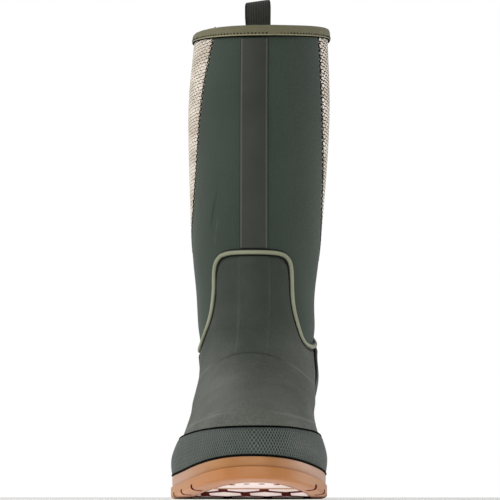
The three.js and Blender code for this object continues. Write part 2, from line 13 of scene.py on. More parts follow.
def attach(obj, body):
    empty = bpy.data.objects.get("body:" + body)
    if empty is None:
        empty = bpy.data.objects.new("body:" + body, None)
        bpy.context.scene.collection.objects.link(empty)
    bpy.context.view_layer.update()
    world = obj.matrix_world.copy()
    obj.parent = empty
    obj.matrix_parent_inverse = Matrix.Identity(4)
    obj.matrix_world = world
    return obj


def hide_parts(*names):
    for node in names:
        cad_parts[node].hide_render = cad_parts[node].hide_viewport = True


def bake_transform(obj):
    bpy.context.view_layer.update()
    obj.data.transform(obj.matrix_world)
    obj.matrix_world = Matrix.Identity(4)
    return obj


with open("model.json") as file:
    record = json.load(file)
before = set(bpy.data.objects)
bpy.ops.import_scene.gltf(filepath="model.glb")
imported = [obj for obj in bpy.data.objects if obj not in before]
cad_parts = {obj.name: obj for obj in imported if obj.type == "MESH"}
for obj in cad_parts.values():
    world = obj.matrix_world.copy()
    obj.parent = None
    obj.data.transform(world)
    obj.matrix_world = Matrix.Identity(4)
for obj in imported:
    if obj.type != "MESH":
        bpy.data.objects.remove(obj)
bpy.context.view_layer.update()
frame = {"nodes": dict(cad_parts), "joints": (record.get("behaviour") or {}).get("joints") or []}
hinge = Vector(frame["joints"][0]["pos_m"]) * 1000
print("frame loaded")


# the last that every layer is wrapped round, in millimetres
boot = {"length": 300, "ball": 115, "legY": 66, "collarZ": 376, "collarDip": 19, "collarWide": 105.5,
        "collarDeep": 146, "calfWide": 111.5, "calfDeep": 150, "calfZ": 300, "ankleWide": 93,
        "ankleDeep": 125, "ankleZ": 160, "toeBoxZ": 62, "toeSpring": 14, "heelLift": 11}
bottom = {"tread": 3.4, "web": 1.4, "gap": 0.3, "plate": 3, "midsole": 5.6, "band": 9, "bandOut": 2.8,
          "overhang": 0.8, "rim": 12, "arch": 6.5}
outsoleTop = bottom["tread"] + bottom["web"] + bottom["gap"] + bottom["plate"]
midsoleBottom = outsoleTop + bottom["gap"]
boardBottom = midsoleBottom + bottom["midsole"] + bottom["gap"]
bandTop = midsoleBottom + bottom["band"]
shellOut = 2.6
bandOuter = shellOut + bottom["gap"] + bottom["bandOut"]
rimOuter = bandOuter + bottom["overhang"]
heelY = boot["length"] / 2 - rimOuter
toeY = -heelY


def mix(a, b, t):
    return a + (b - a) * t


def ramp(x, low, high):
    t = np.clip((np.asarray(x, float) - low) / (high - low), 0, 1)
    return t * t * (3 - 2 * t)


def through(values, x):
    # a smooth curve through evenly spaced values
    values, x = np.asarray(values, float), np.asarray(x, float)
    last = len(values) - 1
    i = np.clip(np.floor(x).astype(int), 0, last - 1)
    t = x - i
    b, c = values[i], values[i + 1]
    a = np.where(i > 0, values[np.maximum(i - 1, 0)], 2 * b - c)
    d = np.where(i + 1 < last, values[np.minimum(i + 2, last)], 2 * c - b)
    slopeIn, slopeOut = (c - a) / 2, (d - b) / 2
    t2, t3 = t * t, t * t * t
    start = (2 * t3 - 3 * t2 + 1) * b + (t3 - 2 * t2 + t) * slopeIn
    return start + (3 * t2 - 2 * t3) * c + (t3 - t2) * slopeOut


def along(pairs, x):
    # a smooth line through (x, value) pairs
    stops, values = [p[0] for p in pairs], [p[1] for p in pairs]
    return through(values, np.interp(x, stops, range(len(stops))))


def toeCurl(y):
    return boot["toeSpring"] * np.clip((-y - 40) / (boot["length"] / 2 - 40), 0, 1) ** 1.8


def rise(y):
    return toeCurl(y) + boot["heelLift"] * ramp(y, -15, 95)


overCollar = 30  # the last goes on this far over the collar


def stations():
    # front y, front z, back y, back z, half width, leg share, follows the sole, inward shift
    top, back = boardBottom + boot["toeSpring"], boardBottom + boot["heelLift"]
    half, ankle = boot["ball"] / 2 - rimOuter, boot["ankleWide"] / 2
    box, legY, dip = boot["toeBoxZ"], boot["legY"], boot["collarDip"]
    ankleDeep, calfDeep, collarDeep = boot["ankleDeep"] / 2, boot["calfDeep"] / 2, boot["collarDeep"] / 2
    shinDeep = (ankleDeep + calfDeep) / 2 - 0.75
    shinHalf = (boot["calfWide"] + boot["ankleWide"]) / 4 - 0.2
    az, sz, cz, oz = boot["ankleZ"], boot["ankleZ"] + 45, boot["calfZ"], boot["collarZ"]
    return np.array([
        (toeY + 3, top - 9, heelY - 2, back - 9, half - 1.5, 0, 1, 0.8),
        (toeY, top, heelY, back, half, 0, 1, 0.8),
        (toeY - 0.5, top + 10, heelY + 2, back + 9, half + 1.2, 0, 0.75, 1),
        (toeY + 3, top + 21, heelY + 2.5, back + 18, half - 2.6, 0, 0.5, 1.5),
        (toeY + 12, box - 6, heelY + 1.5, back + 28, ankle - 0.8, 0.08, 0.3, 1.8),
        (toeY + 27, box + 1, heelY, back + 38, ankle - 2.4, 0.2, 0.12, 2),
        (toeY + 49, box + 8, heelY - 3, back + 48, ankle - 1.8, 0.38, 0, 2.2),
        (toeY + 75, box + 18, heelY - 7, back + 59, ankle - 2.2, 0.58, 0, 2.3),
        (toeY + 101, box + 32, heelY - 11, back + 71, ankle - 2.7, 0.78, 0, 2),
        (toeY + 123, box + 50, heelY - 15, back + 86, ankle - 3.4, 0.93, 0, 0),
        (legY - ankleDeep - 3, az - 26, legY + ankleDeep - 1, az - 26, ankle - 0.9, 1, 0, -1.8),
        (legY - ankleDeep, az, legY + ankleDeep, az, ankle, 1, 0, -2.8),
        (legY - shinDeep, sz, legY + shinDeep, sz, shinHalf, 1, 0, -2),
        (legY - calfDeep, cz, legY + calfDeep, cz, boot["calfWide"] / 2, 1, 0, 0),
        (legY - collarDeep, oz - dip, legY + collarDeep, oz, boot["collarWide"] / 2, 1, 0, 2.2),
        (legY - collarDeep + 1, oz - dip + overCollar, legY + collarDeep - 1, oz + overCollar,
         boot["collarWide"] / 2 - 0.5, 1, 0, 2.2),
    ]).T


frontYs, frontZs, backYs, backZs, halves, legShares, soleFollow, inward = stations()
# the foot's outline from heel to toe, as shares of its half width
innerSide = [0.78, 0.72, 0.6, 0.66, 0.98, 1.15, 1.16]
outerSide = [0.78, 0.73, 0.74, 0.96, 1.06, 0.97, 0.92]
collarLevel = 14


def lastPoint(angle, level):
    angle, level = np.broadcast_arrays(np.asarray(angle, float), np.asarray(level, float))
    c, s = np.cos(angle), np.sin(angle)
    back = (1 - c) / 2
    leg = np.clip(through(legShares, level), 0, 1)
    frontY, backY = through(frontYs, level), through(backYs, level)
    y = mix(frontY, backY, back)
    sag = (rise(y) - mix(rise(frontY), rise(backY), back)) * through(soleFollow, level)
    z = mix(through(frontZs, level), through(backZs, level), back) + sag
    alongFoot = (c + 1) / 2 * (len(innerSide) - 1)
    side = np.where(s >= 0, through(innerSide, alongFoot), through(outerSide, alongFoot))
    foot = np.sign(s) * np.abs(s) ** 0.85 * side + 0.15 * np.clip(c, 0, 1) ** 4
    x = through(inward, level) + through(halves, level) * mix(foot, s, leg)
    return np.stack([x, y, z], -1)


def unit(v):
    return v / np.linalg.norm(v, axis=-1, keepdims=True)


def lastNormal(angle, level):
    around = lastPoint(angle + 0.03, level) - lastPoint(angle - 0.03, level)
    return unit(np.cross(around, lastPoint(angle, level + 0.04) - lastPoint(angle, level - 0.04)))


def offLast(angle, level, offset):
    return lastPoint(angle, level) + lastNormal(angle, level) * np.asarray(offset, float)[..., None]


def levelAt(angle, height):
    low = np.zeros(np.broadcast(angle, height).shape)
    high = low + 15
    for _ in range(24):
        middle = (low + high) / 2
        under = lastPoint(angle, middle)[..., 2] < height
        low, high = np.where(under, middle, low), np.where(under, high, middle)
    return (low + high) / 2


def angleAtY(y, level):
    share = (y - through(frontYs, level)) / (through(backYs, level) - through(frontYs, level))
    return np.arccos(np.clip(1 - 2 * share, -1, 1))


# making meshes
def spare(name, bm, *materials):
    mesh = bpy.data.meshes.new(name)
    bm.to_mesh(mesh)
    bm.free()
    made = bpy.data.objects.new(name, mesh)
    bpy.context.scene.collection.objects.link(made)
    for material in materials:
        mesh.materials.append(material)
    return made


def addPiece(name, bm, *replaced, body="boot", slot=None, smooth=True, material=None):
    piece = spare(name, bm, *([material] if material else []))
    piece.data.polygons.foreach_set("use_smooth", [smooth] * len(piece.data.polygons))
    if body:
        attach(piece, body)
    if replaced:
        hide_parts(*replaced)
    return piece


def wrap(shape, across, up, size=(1, 1), ring=False, uvAt=None):
    # a grid laid on shape(u, v), in millimetres; its UV map is in metres, from size or uvAt in millimetres
    bm = bmesh.new()
    bmesh.ops.create_grid(bm, x_segments=across, y_segments=up, size=0.5)
    uv = bm.loops.layers.uv.new("UVMap")
    for face in bm.faces:
        for loop in face.loops:
            co = loop.vert.co
            loop[uv].uv = ((co.x + 0.5) * size[0] / 1000, (co.y + 0.5) * size[1] / 1000)
    flat = np.array([v.co[:2] for v in bm.verts]) + 0.5
    points = shape(flat[:, 0], flat[:, 1])
    for vert, point in zip(bm.verts, points / 1000):
        vert.co = point
    if uvAt:
        places = uvAt(points) / 1000
        bm.verts.index_update()
        for face in bm.faces:
            for loop in face.loops:
                loop[uv].uv = places[loop.vert.index]
    if ring:
        bmesh.ops.remove_doubles(bm, verts=bm.verts, dist=2e-6)
    return bm


def outward(bm):
    bmesh.ops.recalc_face_normals(bm, faces=bm.faces)
    return bm


def capRings(bm):
    # closes the open ends of a swept piece
    ends = [e for e in bm.edges if e.is_boundary]
    bmesh.ops.holes_fill(bm, edges=ends, sides=0)
    return outward(bm)


def thicken(piece, depth):
    solid = piece.modifiers.new("thickness", "SOLIDIFY")
    solid.thickness, solid.offset, solid.use_even_offset = depth / 1000, -1, True


def runAlong(points):
    # the length of a line up to each of its points
    return np.concatenate([[0], np.cumsum(np.linalg.norm(np.diff(points, axis=0), axis=1))])


def loopOf(points):
    # a closed section, as a function of the share of the way round it
    points = np.array(points + points[:1], float)
    run = runAlong(points)
    return lambda v: np.stack([np.interp(v * run[-1], run, points[:, k]) for k in (0, 1)], -1)


# materials
def linear(hexColour):
    rgb = [int(hexColour[i:i + 2], 16) / 255 for i in (1, 3, 5)]
    return (*[c / 12.92 if c <= 0.04045 else ((c + 0.055) / 1.055) ** 2.4 for c in rgb], 1)


def node(tree, kind, settings=None, links=None):
    # adds a node; settings are its own fields or its sockets' values, links feed its sockets
    made = tree.nodes.new(kind)
    for key, value in (settings or {}).items():
        if isinstance(key, str) and hasattr(made, key) and key not in made.inputs:
            setattr(made, key, value)
        else:
            made.inputs[key].default_value = value
    for key, source in (links or {}).items():
        tree.links.new(source, made.inputs[key])
    return made


def newMaterial(name, colour, roughness, **sockets):
    # sockets are the shader's own, with _ for each space
    made = bpy.data.materials.new(name)
    made.use_nodes = True
    made.diffuse_color = linear(colour)
    shader = made.node_tree.nodes["Principled BSDF"]
    shader.inputs["Base Color"].default_value = linear(colour)
    shader.inputs["Roughness"].default_value = roughness
    for key, value in sockets.items():
        shader.inputs[key.replace("_", " ")].default_value = value
    return made, made.node_tree, shader


def axes(tree, where):
    return node(tree, "ShaderNodeSeparateXYZ", links={"Vector": where}).outputs


def paint(tree, shader, colour):
    tree.links.new(colour, shader.inputs["Base Color"])


def place(tree, kind="UV"):
    where = node(tree, "ShaderNodeTexCoord").outputs[kind]
    return stretch(tree, where, (1, 1, 1))


def stretch(tree, where, scale, turn=0):
    settings = {"Scale": scale, "Rotation": (0, 0, turn)}
    return node(tree, "ShaderNodeMapping", settings, {"Vector": where}).outputs[0]


def maths(tree, operation, a, b=None):
    made = tree.nodes.new("ShaderNodeMath")
    made.operation = operation
    for i, value in enumerate((a, b)):
        if value is None:
            continue
        if isinstance(value, (int, float)):
            made.inputs[i].default_value = value
        else:
            tree.links.new(value, made.inputs[i])
    return made.outputs[0]


def times(tree, a, b):
    return maths(tree, "MULTIPLY", a, b)


def plus(tree, a, b):
    return maths(tree, "ADD", a, b)


def blend(tree, factor, a, b):
    made = tree.nodes.new("ShaderNodeMix")
    made.data_type = "RGBA"
    for i, value in ((0, factor), (6, a), (7, b)):
        if isinstance(value, (int, float)):
            made.inputs[i].default_value = value
        elif isinstance(value, str):
            made.inputs[i].default_value = linear(value)
        else:
            tree.links.new(value, made.inputs[i])
    return made.outputs[2]


def noise(tree, vector, scale, detail=3, rough=0.55):
    return node(tree, "ShaderNodeTexNoise", {"Scale": scale, "Detail": detail, "Roughness": rough},
                {"Vector": vector}).outputs["Fac"]


def bump(tree, shader, height, depth):
    settings = {"Strength": 1, "Distance": depth / 1000}
    made = node(tree, "ShaderNodeBump", settings, {"Height": height})
    tree.links.new(made.outputs[0], shader.inputs["Normal"])


def range01(tree, value, low, high, toLow=0.0, toHigh=1.0):
    limits = {"From Min": low, "From Max": high, "To Min": toLow, "To Max": toHigh}
    return node(tree, "ShaderNodeMapRange", limits, {"Value": value}).outputs[0]


def overlayLine(tree, where, top, middle, droop, width):
    # 1 on a curved line across the vamp, falling to 0 at half its width; sizes in millimetres
    split = axes(tree, where)
    x = maths(tree, "SUBTRACT", split[0], middle / 1000)
    fall = times(tree, times(tree, x, x), droop * 1000)
    line = maths(tree, "SUBTRACT", top / 1000, fall)
    off = maths(tree, "ABSOLUTE", maths(tree, "SUBTRACT", split[2], line))
    return range01(tree, off, 0, width / 2000, 1, 0), maths(tree, "ABSOLUTE", x)


def touchUp(tree, tone, mask, strength, colour):
    return blend(tree, times(tree, mask, strength), tone, colour)


def mouldedRubber(name, colour, dark, roughness, grain=0.8, depth=0.05, paintedToeLight=None):
    # hand-laid sheet rubber: matt, with a fine cloth-like grain and a faint bloom that dulls its shine in
    # patches; where a pale toe colour is given, it paints light towards the toe
    # pale grey for the grain's speckles and for painted highlights
    grainAndHighlight = "#8e9187"
    made, tree, shader = newMaterial(name, colour, roughness, Specular_IOR_Level=0.35)
    where = place(tree, "Object")
    patches = noise(tree, where, 22, 4)
    fine = noise(tree, where, 1000 / grain, 2)
    both = plus(tree, range01(tree, patches, 0.35, 0.7), times(tree, fine, 0.35))
    tone = blend(tree, range01(tree, both, 0.1, 1.25), dark, colour)
    if paintedToeLight:
        # painted light: paler in blotches towards the toe and darker up the vamp, standing in for how the
        # light falls on it
        height = axes(tree, where)[2]
        toeLit = blend(tree, patches, tone, paintedToeLight)
        tone = blend(tree, range01(tree, height, 0.15, 0.05), tone, toeLit)
        speckled = range01(tree, height, 0.14, 0.06, 0, 0.22)
        tone = touchUp(tree, tone, range01(tree, fine, 0.5, 0.7), speckled, grainAndHighlight)
        # painted shadow: a dark line along the middle of the overlay's arc; painted highlights pale the arc's
        # ends and the toe cap's line
        arc, aside = overlayLine(tree, where, 107.3, -1, 0.0098, 2.6)
        tone = touchUp(tree, tone, arc, range01(tree, aside, 0.027, 0.015, 0, 0.7), "#1d211b")
        tone = touchUp(tree, tone, arc, range01(tree, aside, 0.024, 0.034, 0, 0.22), grainAndHighlight)
        cap, aside = overlayLine(tree, where, 60.3, 6, 0.0037, 2.6)
        tone = touchUp(tree, tone, cap, range01(tree, aside, 0.008, 0.024, 0, 0.26), grainAndHighlight)
    paint(tree, shader, tone)
    dullness = range01(tree, patches, 0.3, 0.7, roughness + 0.08, roughness - 0.06)
    tree.links.new(dullness, shader.inputs["Roughness"])
    bump(tree, shader, fine, depth)
    return made


def knittedNeoprene(name, colour, dark):
    # foam laminated with a fine jersey: its wales run up the boot, and catch a soft sheen
    made, tree, shader = newMaterial(name, colour, 0.82, Sheen_Weight=0.12, Sheen_Roughness=0.5,
                                     Specular_IOR_Level=0.2)
    where = place(tree)

    def rows(direction, pitch, distortion):
        settings = {"wave_type": "BANDS", "bands_direction": direction, "Scale": 1000 / pitch / 3.1416 / 2,
                    "Distortion": distortion, "Detail": 1}
        return node(tree, "ShaderNodeTexWave", settings, {"Vector": where}).outputs["Fac"]
    cloth = times(tree, rows("X", 0.9, 0.6), rows("Y", 0.7, 0.4))
    cloudy = noise(tree, place(tree, "Object"), 14, 3)
    shade = plus(tree, range01(tree, cloth, 0, 1, 0, 0.5), range01(tree, cloudy, 0.35, 0.65, 0, 0.5))
    paint(tree, shader, blend(tree, shade, dark, colour))
    bump(tree, shader, cloth, 0.09)
    return made


rubberFinish = {"vamp": ("#343b32", "#2b312a"), "counter": ("#121311", "#0b0c0b"),
                "shadeLine": ("#070807", "#040404"), "strip": ("#353a32", "#2c3029"),
                "sage": ("#989b84", "#84886f")}
vampRubber = mouldedRubber("olive sheet rubber", *rubberFinish["vamp"], 0.6, 1.6, 0.4, "#6a6e64")
counterRubber = mouldedRubber("black moulded rubber", *rubberFinish["counter"], 0.5)
# black cords that stand in for the shadow lines in gaps: painted shade
shadeLineRubber = mouldedRubber("black painted shade line rubber", *rubberFinish["shadeLine"], 0.95)
shadeLineRubber.node_tree.nodes["Principled BSDF"].inputs["Specular IOR Level"].default_value = 0.05
stripRubber = mouldedRubber("olive rubber tape", *rubberFinish["strip"], 0.6)
sageRubber = mouldedRubber("sage extruded rubber", *rubberFinish["sage"], 0.55, depth=0.02)


def edgedTape(name, width):
    # the same tape, painted with a pale highlight band just inside each edge and a dark painted shadow line
    # right at each edge
    made = mouldedRubber(name, *rubberFinish["strip"], 0.6)
    tree = made.node_tree
    shader = tree.nodes["Principled BSDF"]
    base = shader.inputs["Base Color"].links[0].from_socket
    fromEdge = maths(tree, "PINGPONG", axes(tree, place(tree))[0], width / 2)
    # painted highlight: a pale band just inside each edge
    inside = range01(tree, fromEdge, 0.0024, 0.0016, 0, 0.3)
    edgeHighlight = touchUp(tree, base, range01(tree, fromEdge, 0.0009, 0.0013), inside, "#737a6c")
    # painted shadow: a dark line right at each edge
    shadeLine = range01(tree, fromEdge, 0.0010, 0.0006, 0, 0.9)
    paint(tree, shader, blend(tree, shadeLine, edgeHighlight, "#11130f"))
    return made


shinRubber = edgedTape("edged olive rubber tape", 0.0215)
greenNeoprene = knittedNeoprene("green jersey neoprene", "#3d493f", "#323c34")


def diamondRubber():
    # bumper rubber from a knurled mould: fine raised lines that cross in diamonds 3.2 mm wide and 2.8 mm tall
    made, tree, shader = newMaterial("green knurled rubber", "#3a4339", 0.5, Specular_IOR_Level=0.4)
    split = axes(tree, place(tree))
    x = maths(tree, "DIVIDE", split[0], 0.0032)
    y = maths(tree, "DIVIDE", split[1], 0.0028)
    slants = [maths(tree, "PINGPONG", maths(tree, how, x, y), 0.5) for how in ("ADD", "SUBTRACT")]
    raised = maths(tree, "MAXIMUM", *[range01(tree, slant, 0.04, 0.2, 1, 0) for slant in slants])
    patches = noise(tree, place(tree, "Object"), 25, 3)
    # painted highlight: the raised lines are painted paler, more so in random patches
    wearAndSheen = times(tree, range01(tree, patches, 0.3, 0.7, 0.55, 1), raised)
    paint(tree, shader, blend(tree, wearAndSheen, "#1b221d", "#69756d"))
    bump(tree, shader, raised, 0.4)
    return made


knurledRubber = diamondRubber()


def gumRubber(name, colour, dark, flank=None):
    # natural gum rubber: waxy, a little see-through, with cloudy tones; where a flank colour is given, the
    # sides are painted paler and pinker, a painted highlight
    made, tree, shader = newMaterial(name, colour, 0.42, Subsurface_Weight=0.1, Subsurface_Scale=0.003,
                                     Specular_IOR_Level=0.35, Sheen_Weight=0.22, Sheen_Roughness=0.4)
    shader.inputs["Sheen Tint"].default_value = linear("#ffe6dc")
    shader.inputs["Subsurface Radius"].default_value = (1, 0.5, 0.25)
    where = place(tree, "Object")
    clouds = noise(tree, where, 30, 4)
    tone = blend(tree, range01(tree, clouds, 0.3, 0.7), dark, colour)
    if flank:
        # painted highlight: paler and pinker away from the middle, towards each side
        aside = maths(tree, "ABSOLUTE", axes(tree, where)[0])
        tone = blend(tree, range01(tree, aside, 0.022, 0.052), tone, flank)
    paint(tree, shader, tone)
    bump(tree, shader, noise(tree, where, 900, 2), 0.03)
    return made


honeyGum = gumRubber("honey gum rubber", "#ab7847", "#9b693b", "#c0977f")
deepGum = gumRubber("deep honey gum rubber", "#b27743", "#a26837", "#ba8254")
# the tread is one gum rubber: its lug faces are painted pale, a painted reflection of the pale floor, and its
# lug walls, grooves and slits brick red, painted shade
floorReflectionTread = gumRubber("tread rubber painted pale as floor reflection", "#f6edea", "#ebdfd9")
grooveShadeTread = mouldedRubber("tread rubber painted brick red as shade", "#7c2416", "#5f1a10", 0.6)


def brick(tree, split, wide, tall, wobble):
    # distances to the middle of each cell of a brick pattern, 0 at its edges and 0.5 in its middle
    x = maths(tree, "DIVIDE", plus(tree, split[0], wobble), wide / 1000)
    y = maths(tree, "DIVIDE", plus(tree, split[1], wobble), tall / 1000)
    shifted = plus(tree, x, times(tree, maths(tree, "FLOOR", y), 0.5))
    return maths(tree, "PINGPONG", shifted, 0.5), maths(tree, "PINGPONG", y, 0.5)


def jacquardKnit(name, cellWide, cellTall, darkShare, boldFrom, boldTo, cloudy, pale):
    # chunky two-yarn knit: cream loops in rows with dark yarn in the gaps between them, plaited in soft plaid
    # bands; the gaps grow bolder between two heights
    made, tree, shader = newMaterial(name, "#d6c9b6", 0.95, Sheen_Weight=0.15, Specular_IOR_Level=0.15)
    where = place(tree)
    split = axes(tree, where)
    wobble = times(tree, maths(tree, "SUBTRACT", noise(tree, where, 250, 1), 0.5), 0.0012)
    cellX, cellY = brick(tree, split, cellWide, cellTall, wobble)
    diamond = plus(tree, cellX, cellY)
    plaid = noise(tree, stretch(tree, where, (30, 75, 1), 0.25), 1, 2)
    speckle = noise(tree, where, 520, 2)
    bold = range01(tree, range01(tree, split[1], boldFrom, boldTo), 0, 1, 0.75, 1)
    reach = plus(tree, range01(tree, speckle, 0.35, 0.65, -0.12, 0.12), darkShare)
    gap = maths(tree, "LESS_THAN", diamond, times(tree, reach, bold))
    cream = blend(tree, range01(tree, plaid, 0.38, 0.6), cloudy, pale)
    ribs = maths(tree, "PINGPONG", maths(tree, "DIVIDE", split[1], 0.0013), 0.5)
    ribbed = touchUp(tree, cream, range01(tree, ribs, 0, 0.25, 1, 0), 0.25, "#7d6c5b")
    yarn = blend(tree, range01(tree, speckle, 0.4, 0.6), "#120c0a", "#33251d")
    paint(tree, shader, touchUp(tree, ribbed, gap, bold, yarn))
    bump(tree, shader, range01(tree, diamond, 0, 0.5), 0.7)
    return made


boldKnit = jacquardKnit("brown and cream jacquard knit", 7, 2.8, 0.47, 0.16, 0.33, "#e2d5c5", "#fff6ea")
fineKnit = jacquardKnit("cream dotted jacquard knit", 5.0, 2.6, 0.32, 0.19, 0.33, "#cbbfae", "#ebe0d2")


def wovenTape(name, colour, dark, warp, weft, depth, roughness=0.85, edge=0):
    # woven polyester tape: warp ribs along it, crossed by a finer weft
    made, tree, shader = newMaterial(name, colour, roughness, Sheen_Weight=0.1, Specular_IOR_Level=0.25)
    split = axes(tree, place(tree))
    x = maths(tree, "DIVIDE", split[0], warp / 1000)
    y = maths(tree, "DIVIDE", split[1], weft / 1000)
    lift = plus(tree, y, times(tree, maths(tree, "FLOOR", x), 0.5))
    threads = times(tree, range01(tree, maths(tree, "PINGPONG", x, 0.5), 0, 0.3),
                    range01(tree, maths(tree, "PINGPONG", lift, 0.5), 0, 0.3, 0.4, 1))
    wearAndSheen = noise(tree, place(tree, "Object"), 60, 3)
    wearAndSheen = range01(tree, wearAndSheen, 0.3, 0.7, 0.7, 1)
    shade = times(tree, range01(tree, threads, 0, 1, 0.3, 1), wearAndSheen)
    if edge:
        # the tape is darker along each edge
        nearEdge = maths(tree, "PINGPONG", split[0], edge / 1000)
        shade = times(tree, shade, range01(tree, nearEdge, 0.0012, 0.0032))
    paint(tree, shader, blend(tree, shade, dark, colour))
    bump(tree, shader, threads, depth)
    return made


blackWebbing = wovenTape("black woven webbing", "#494a43", "#0f0f0e", 2.0, 1.3, 0.45, edge=21)
oliveBinding = wovenTape("olive woven binding", "#78745a", "#5a5742", 0.7, 0.7, 0.08)
darkThread = wovenTape("dark sewing thread", "#191a15", "#0e0f0c", 0.3, 0.6, 0.05)
paleThread = wovenTape("olive sewing thread", "#aaa685", "#858263", 0.3, 0.6, 0.05)


def fleece(name, colour, dark, scale):
    # brushed fleece: short curled pile that scatters light
    made, tree, shader = newMaterial(name, colour, 0.98, Sheen_Weight=0.5, Sheen_Roughness=0.6,
                                     Specular_IOR_Level=0.1)
    where = place(tree, "Object")
    pile = node(tree, "ShaderNodeTexVoronoi", {"Scale": scale}, {"Vector": where}).outputs["Distance"]
    clouds = range01(tree, noise(tree, where, 40, 3), 0.3, 0.7, 0, 0.4)
    shade = plus(tree, range01(tree, pile, 0, 0.7, 0, 0.6), clouds)
    paint(tree, shader, blend(tree, shade, colour, dark))
    bump(tree, shader, pile, -0.5)
    return made


liningFleece = fleece("brushed lining fleece", "#8b8a80", "#5e5d55", 700)
footbedCloth = fleece("footbed felt", "#5c605a", "#3d403b", 900)
blackFoam = fleece("closed-cell black foam", "#262829", "#191b1c", 1500)
fibreBoard = fleece("pressed fibre board", "#b09a74", "#8a7754", 600)
print("materials made")


# the foot shell's edge, in heights
arch = {"top": 183, "heel": 143}
archDrops = {  # degrees round the boot from the toe, and the height
    1: [(11, 183), (21.3, 182.8), (25.9, 182.2), (29.3, 181.2), (33, 178), (35, 173), (36.3, 165.5),
        (37.1, 158), (38.4, 146.7), (40.7, 137.5), (45.7, 127), (51.5, 119.3), (59.7, 114.3), (70.9, 113),
        (82, 114.5), (94, 117.4), (104, 120.1), (116, 124.5), (130, 131.5), (145, 137.5), (162, 141.5)],
    -1: [(9, 183), (18, 182.8), (22.7, 182), (25.7, 181), (29.5, 177.5), (31.6, 172), (32.4, 166),
         (33.2, 158), (35.8, 147), (39, 139), (44, 131.5), (52.3, 124), (62.9, 117), (72, 113.3), (84, 112),
         (95, 113), (104, 115.3), (116, 120.5), (130, 129), (145, 136), (162, 141)],
}


def edgeCurve():
    inner, outer = archDrops[1], [(-degrees, z) for degrees, z in archDrops[-1]][::-1]
    whole = [(-180, arch["heel"])] + outer + [(0, arch["top"])] + inner + [(180, arch["heel"])]
    steps = np.linspace(0, len(whole) - 1, 1600)
    return np.radians(through([p[0] for p in whole], steps)), through([p[1] for p in whole], steps)


edgeAngles, edgeHeights = edgeCurve()
edgeLevels = levelAt(edgeAngles, edgeHeights)
edgePoints = lastPoint(edgeAngles, edgeLevels)
edgeRun = runAlong(edgePoints)


def edgeHeight(angle):
    turned = np.mod(angle - edgeAngles[0], 2 * np.pi) + edgeAngles[0]
    return np.interp(turned, edgeAngles, edgeHeights)


shellLow = 1.6  # the level where the foot shell starts, under its rolled foot


def footStrip(up, across, yLimit, side):
    # shares of the way up and across (-1 to 1), to angle and level, for the foot shell's front or back part
    if side == "front":
        onEdge = edgePoints[:, 1] < yLimit
        angles, run = edgeAngles[onEdge], edgeRun[onEdge]
    else:
        onEdge = edgePoints[:, 1] > yLimit
        half = len(edgeAngles) // 2
        inner, outer = edgeAngles[half:][onEdge[half:]], edgeAngles[:half][onEdge[:half]]
        angles = np.concatenate([inner, outer + 2 * np.pi])
        run = runAlong(lastPoint(angles, levelAt(angles, edgeHeight(angles))))
    run = (run - run[0]) / (run[-1] - run[0])
    target = np.interp((across + 1) / 2, run, angles)
    level = np.full(across.shape, 4.0)
    for _ in range(14):
        limit = angleAtY(yLimit, level)
        even = across * limit if side == "front" else np.pi + across * (np.pi - limit)
        angle = mix(even, target, ramp(up, 0.25, 0.95) * (1 - np.abs(across) ** 6))
        level = mix(shellLow, levelAt(angle, edgeHeight(angle)), up)
    return angle, level


shell = {"splitY": 44, "join": 3, "counterInner": 1.8, "counterOuter": 0.9, "ankleBone": 3.6, "boneZ": 77,
         "boneTall": 21, "stripHalf": 10.8, "stripRise": 1.0, "capRise": 0.7, "toeRise": 0.6}


def edgeRoll(v):
    # how far the foot shell's top edge rolls in
    return 0.9 * ramp(v, 0.985, 1.0)


def vampShape(u, v):
    angle, level = footStrip(v, u * 2 - 1, shell["splitY"] + shell["join"], "front")
    x, y, z = lastPoint(angle, level).T
    # the shin strip shows through the rubber, down to the overlay's arc
    beside = np.abs(x) - shell["stripHalf"]
    tape = ramp(-beside, -0.45, 0.45) * (z > 90) * (y < 40)
    arcZ = 106.5 - 12 * ((x + 1) / 35) ** 2 - 6 * ((x + 1) / 43) ** 6
    flank = ramp(np.abs(x), 26, 40)
    overlay = ramp((arcZ - z) / (1 + 9 * flank), -0.7, 0.9)
    arcRidge = np.exp(-(((z - arcZ + 1) / 1.3) ** 2)) * 0.8 * (1 - flank)
    capLine = z - (59.5 - 4.5 * ((x - 6) / 35) ** 2)
    toeward = ramp(-y, 55, 75)
    toeCap = shell["toeRise"] * ramp(-capLine, -0.8, 1.2) + 0.6 * np.exp(-((capLine / 1.4) ** 2))
    ripple = 0.22 * np.sin(x / 9 + z / 17) * np.sin(z / 11 - y / 23) * ramp(z, 45, 70)
    relief = shell["stripRise"] * tape * (1 - overlay) + shell["capRise"] * overlay * (z > 30) + arcRidge
    return offLast(angle, level, shellOut - 0.6 + relief + toeCap * toeward + ripple - edgeRoll(v))


bm = wrap(vampShape, 230, 190, (330, 230))
thicken(addPiece("vampShell", bm, "vamp_shell", slot="olive_rubber", material=vampRubber), 2)


def counterShape(u, v):
    angle, level = footStrip(v, u * 2 - 1, shell["splitY"], "back")
    y, z = lastPoint(angle, level)[:, 1:].T
    edge = ramp(y, shell["splitY"] - 0.8, shell["splitY"] + 0.5)
    inner = ramp(np.sin(angle), -0.5, 0.5)
    bone = shell["ankleBone"] * inner * np.exp(-(((z - shell["boneZ"]) / shell["boneTall"]) ** 2))
    swell = bone * ramp(y, shell["splitY"], shell["splitY"] + 18)
    full = mix(shell["counterOuter"], shell["counterInner"], inner) + swell
    return offLast(angle, level, shellOut - 0.4 + full * edge - edgeRoll(v))


bm = wrap(counterShape, 110, 70, (260, 110))
thicken(addPiece("heelCounter", bm, "heel_shell", slot="olive_rubber", material=counterRubber), 2.4)
print("foot shell made")


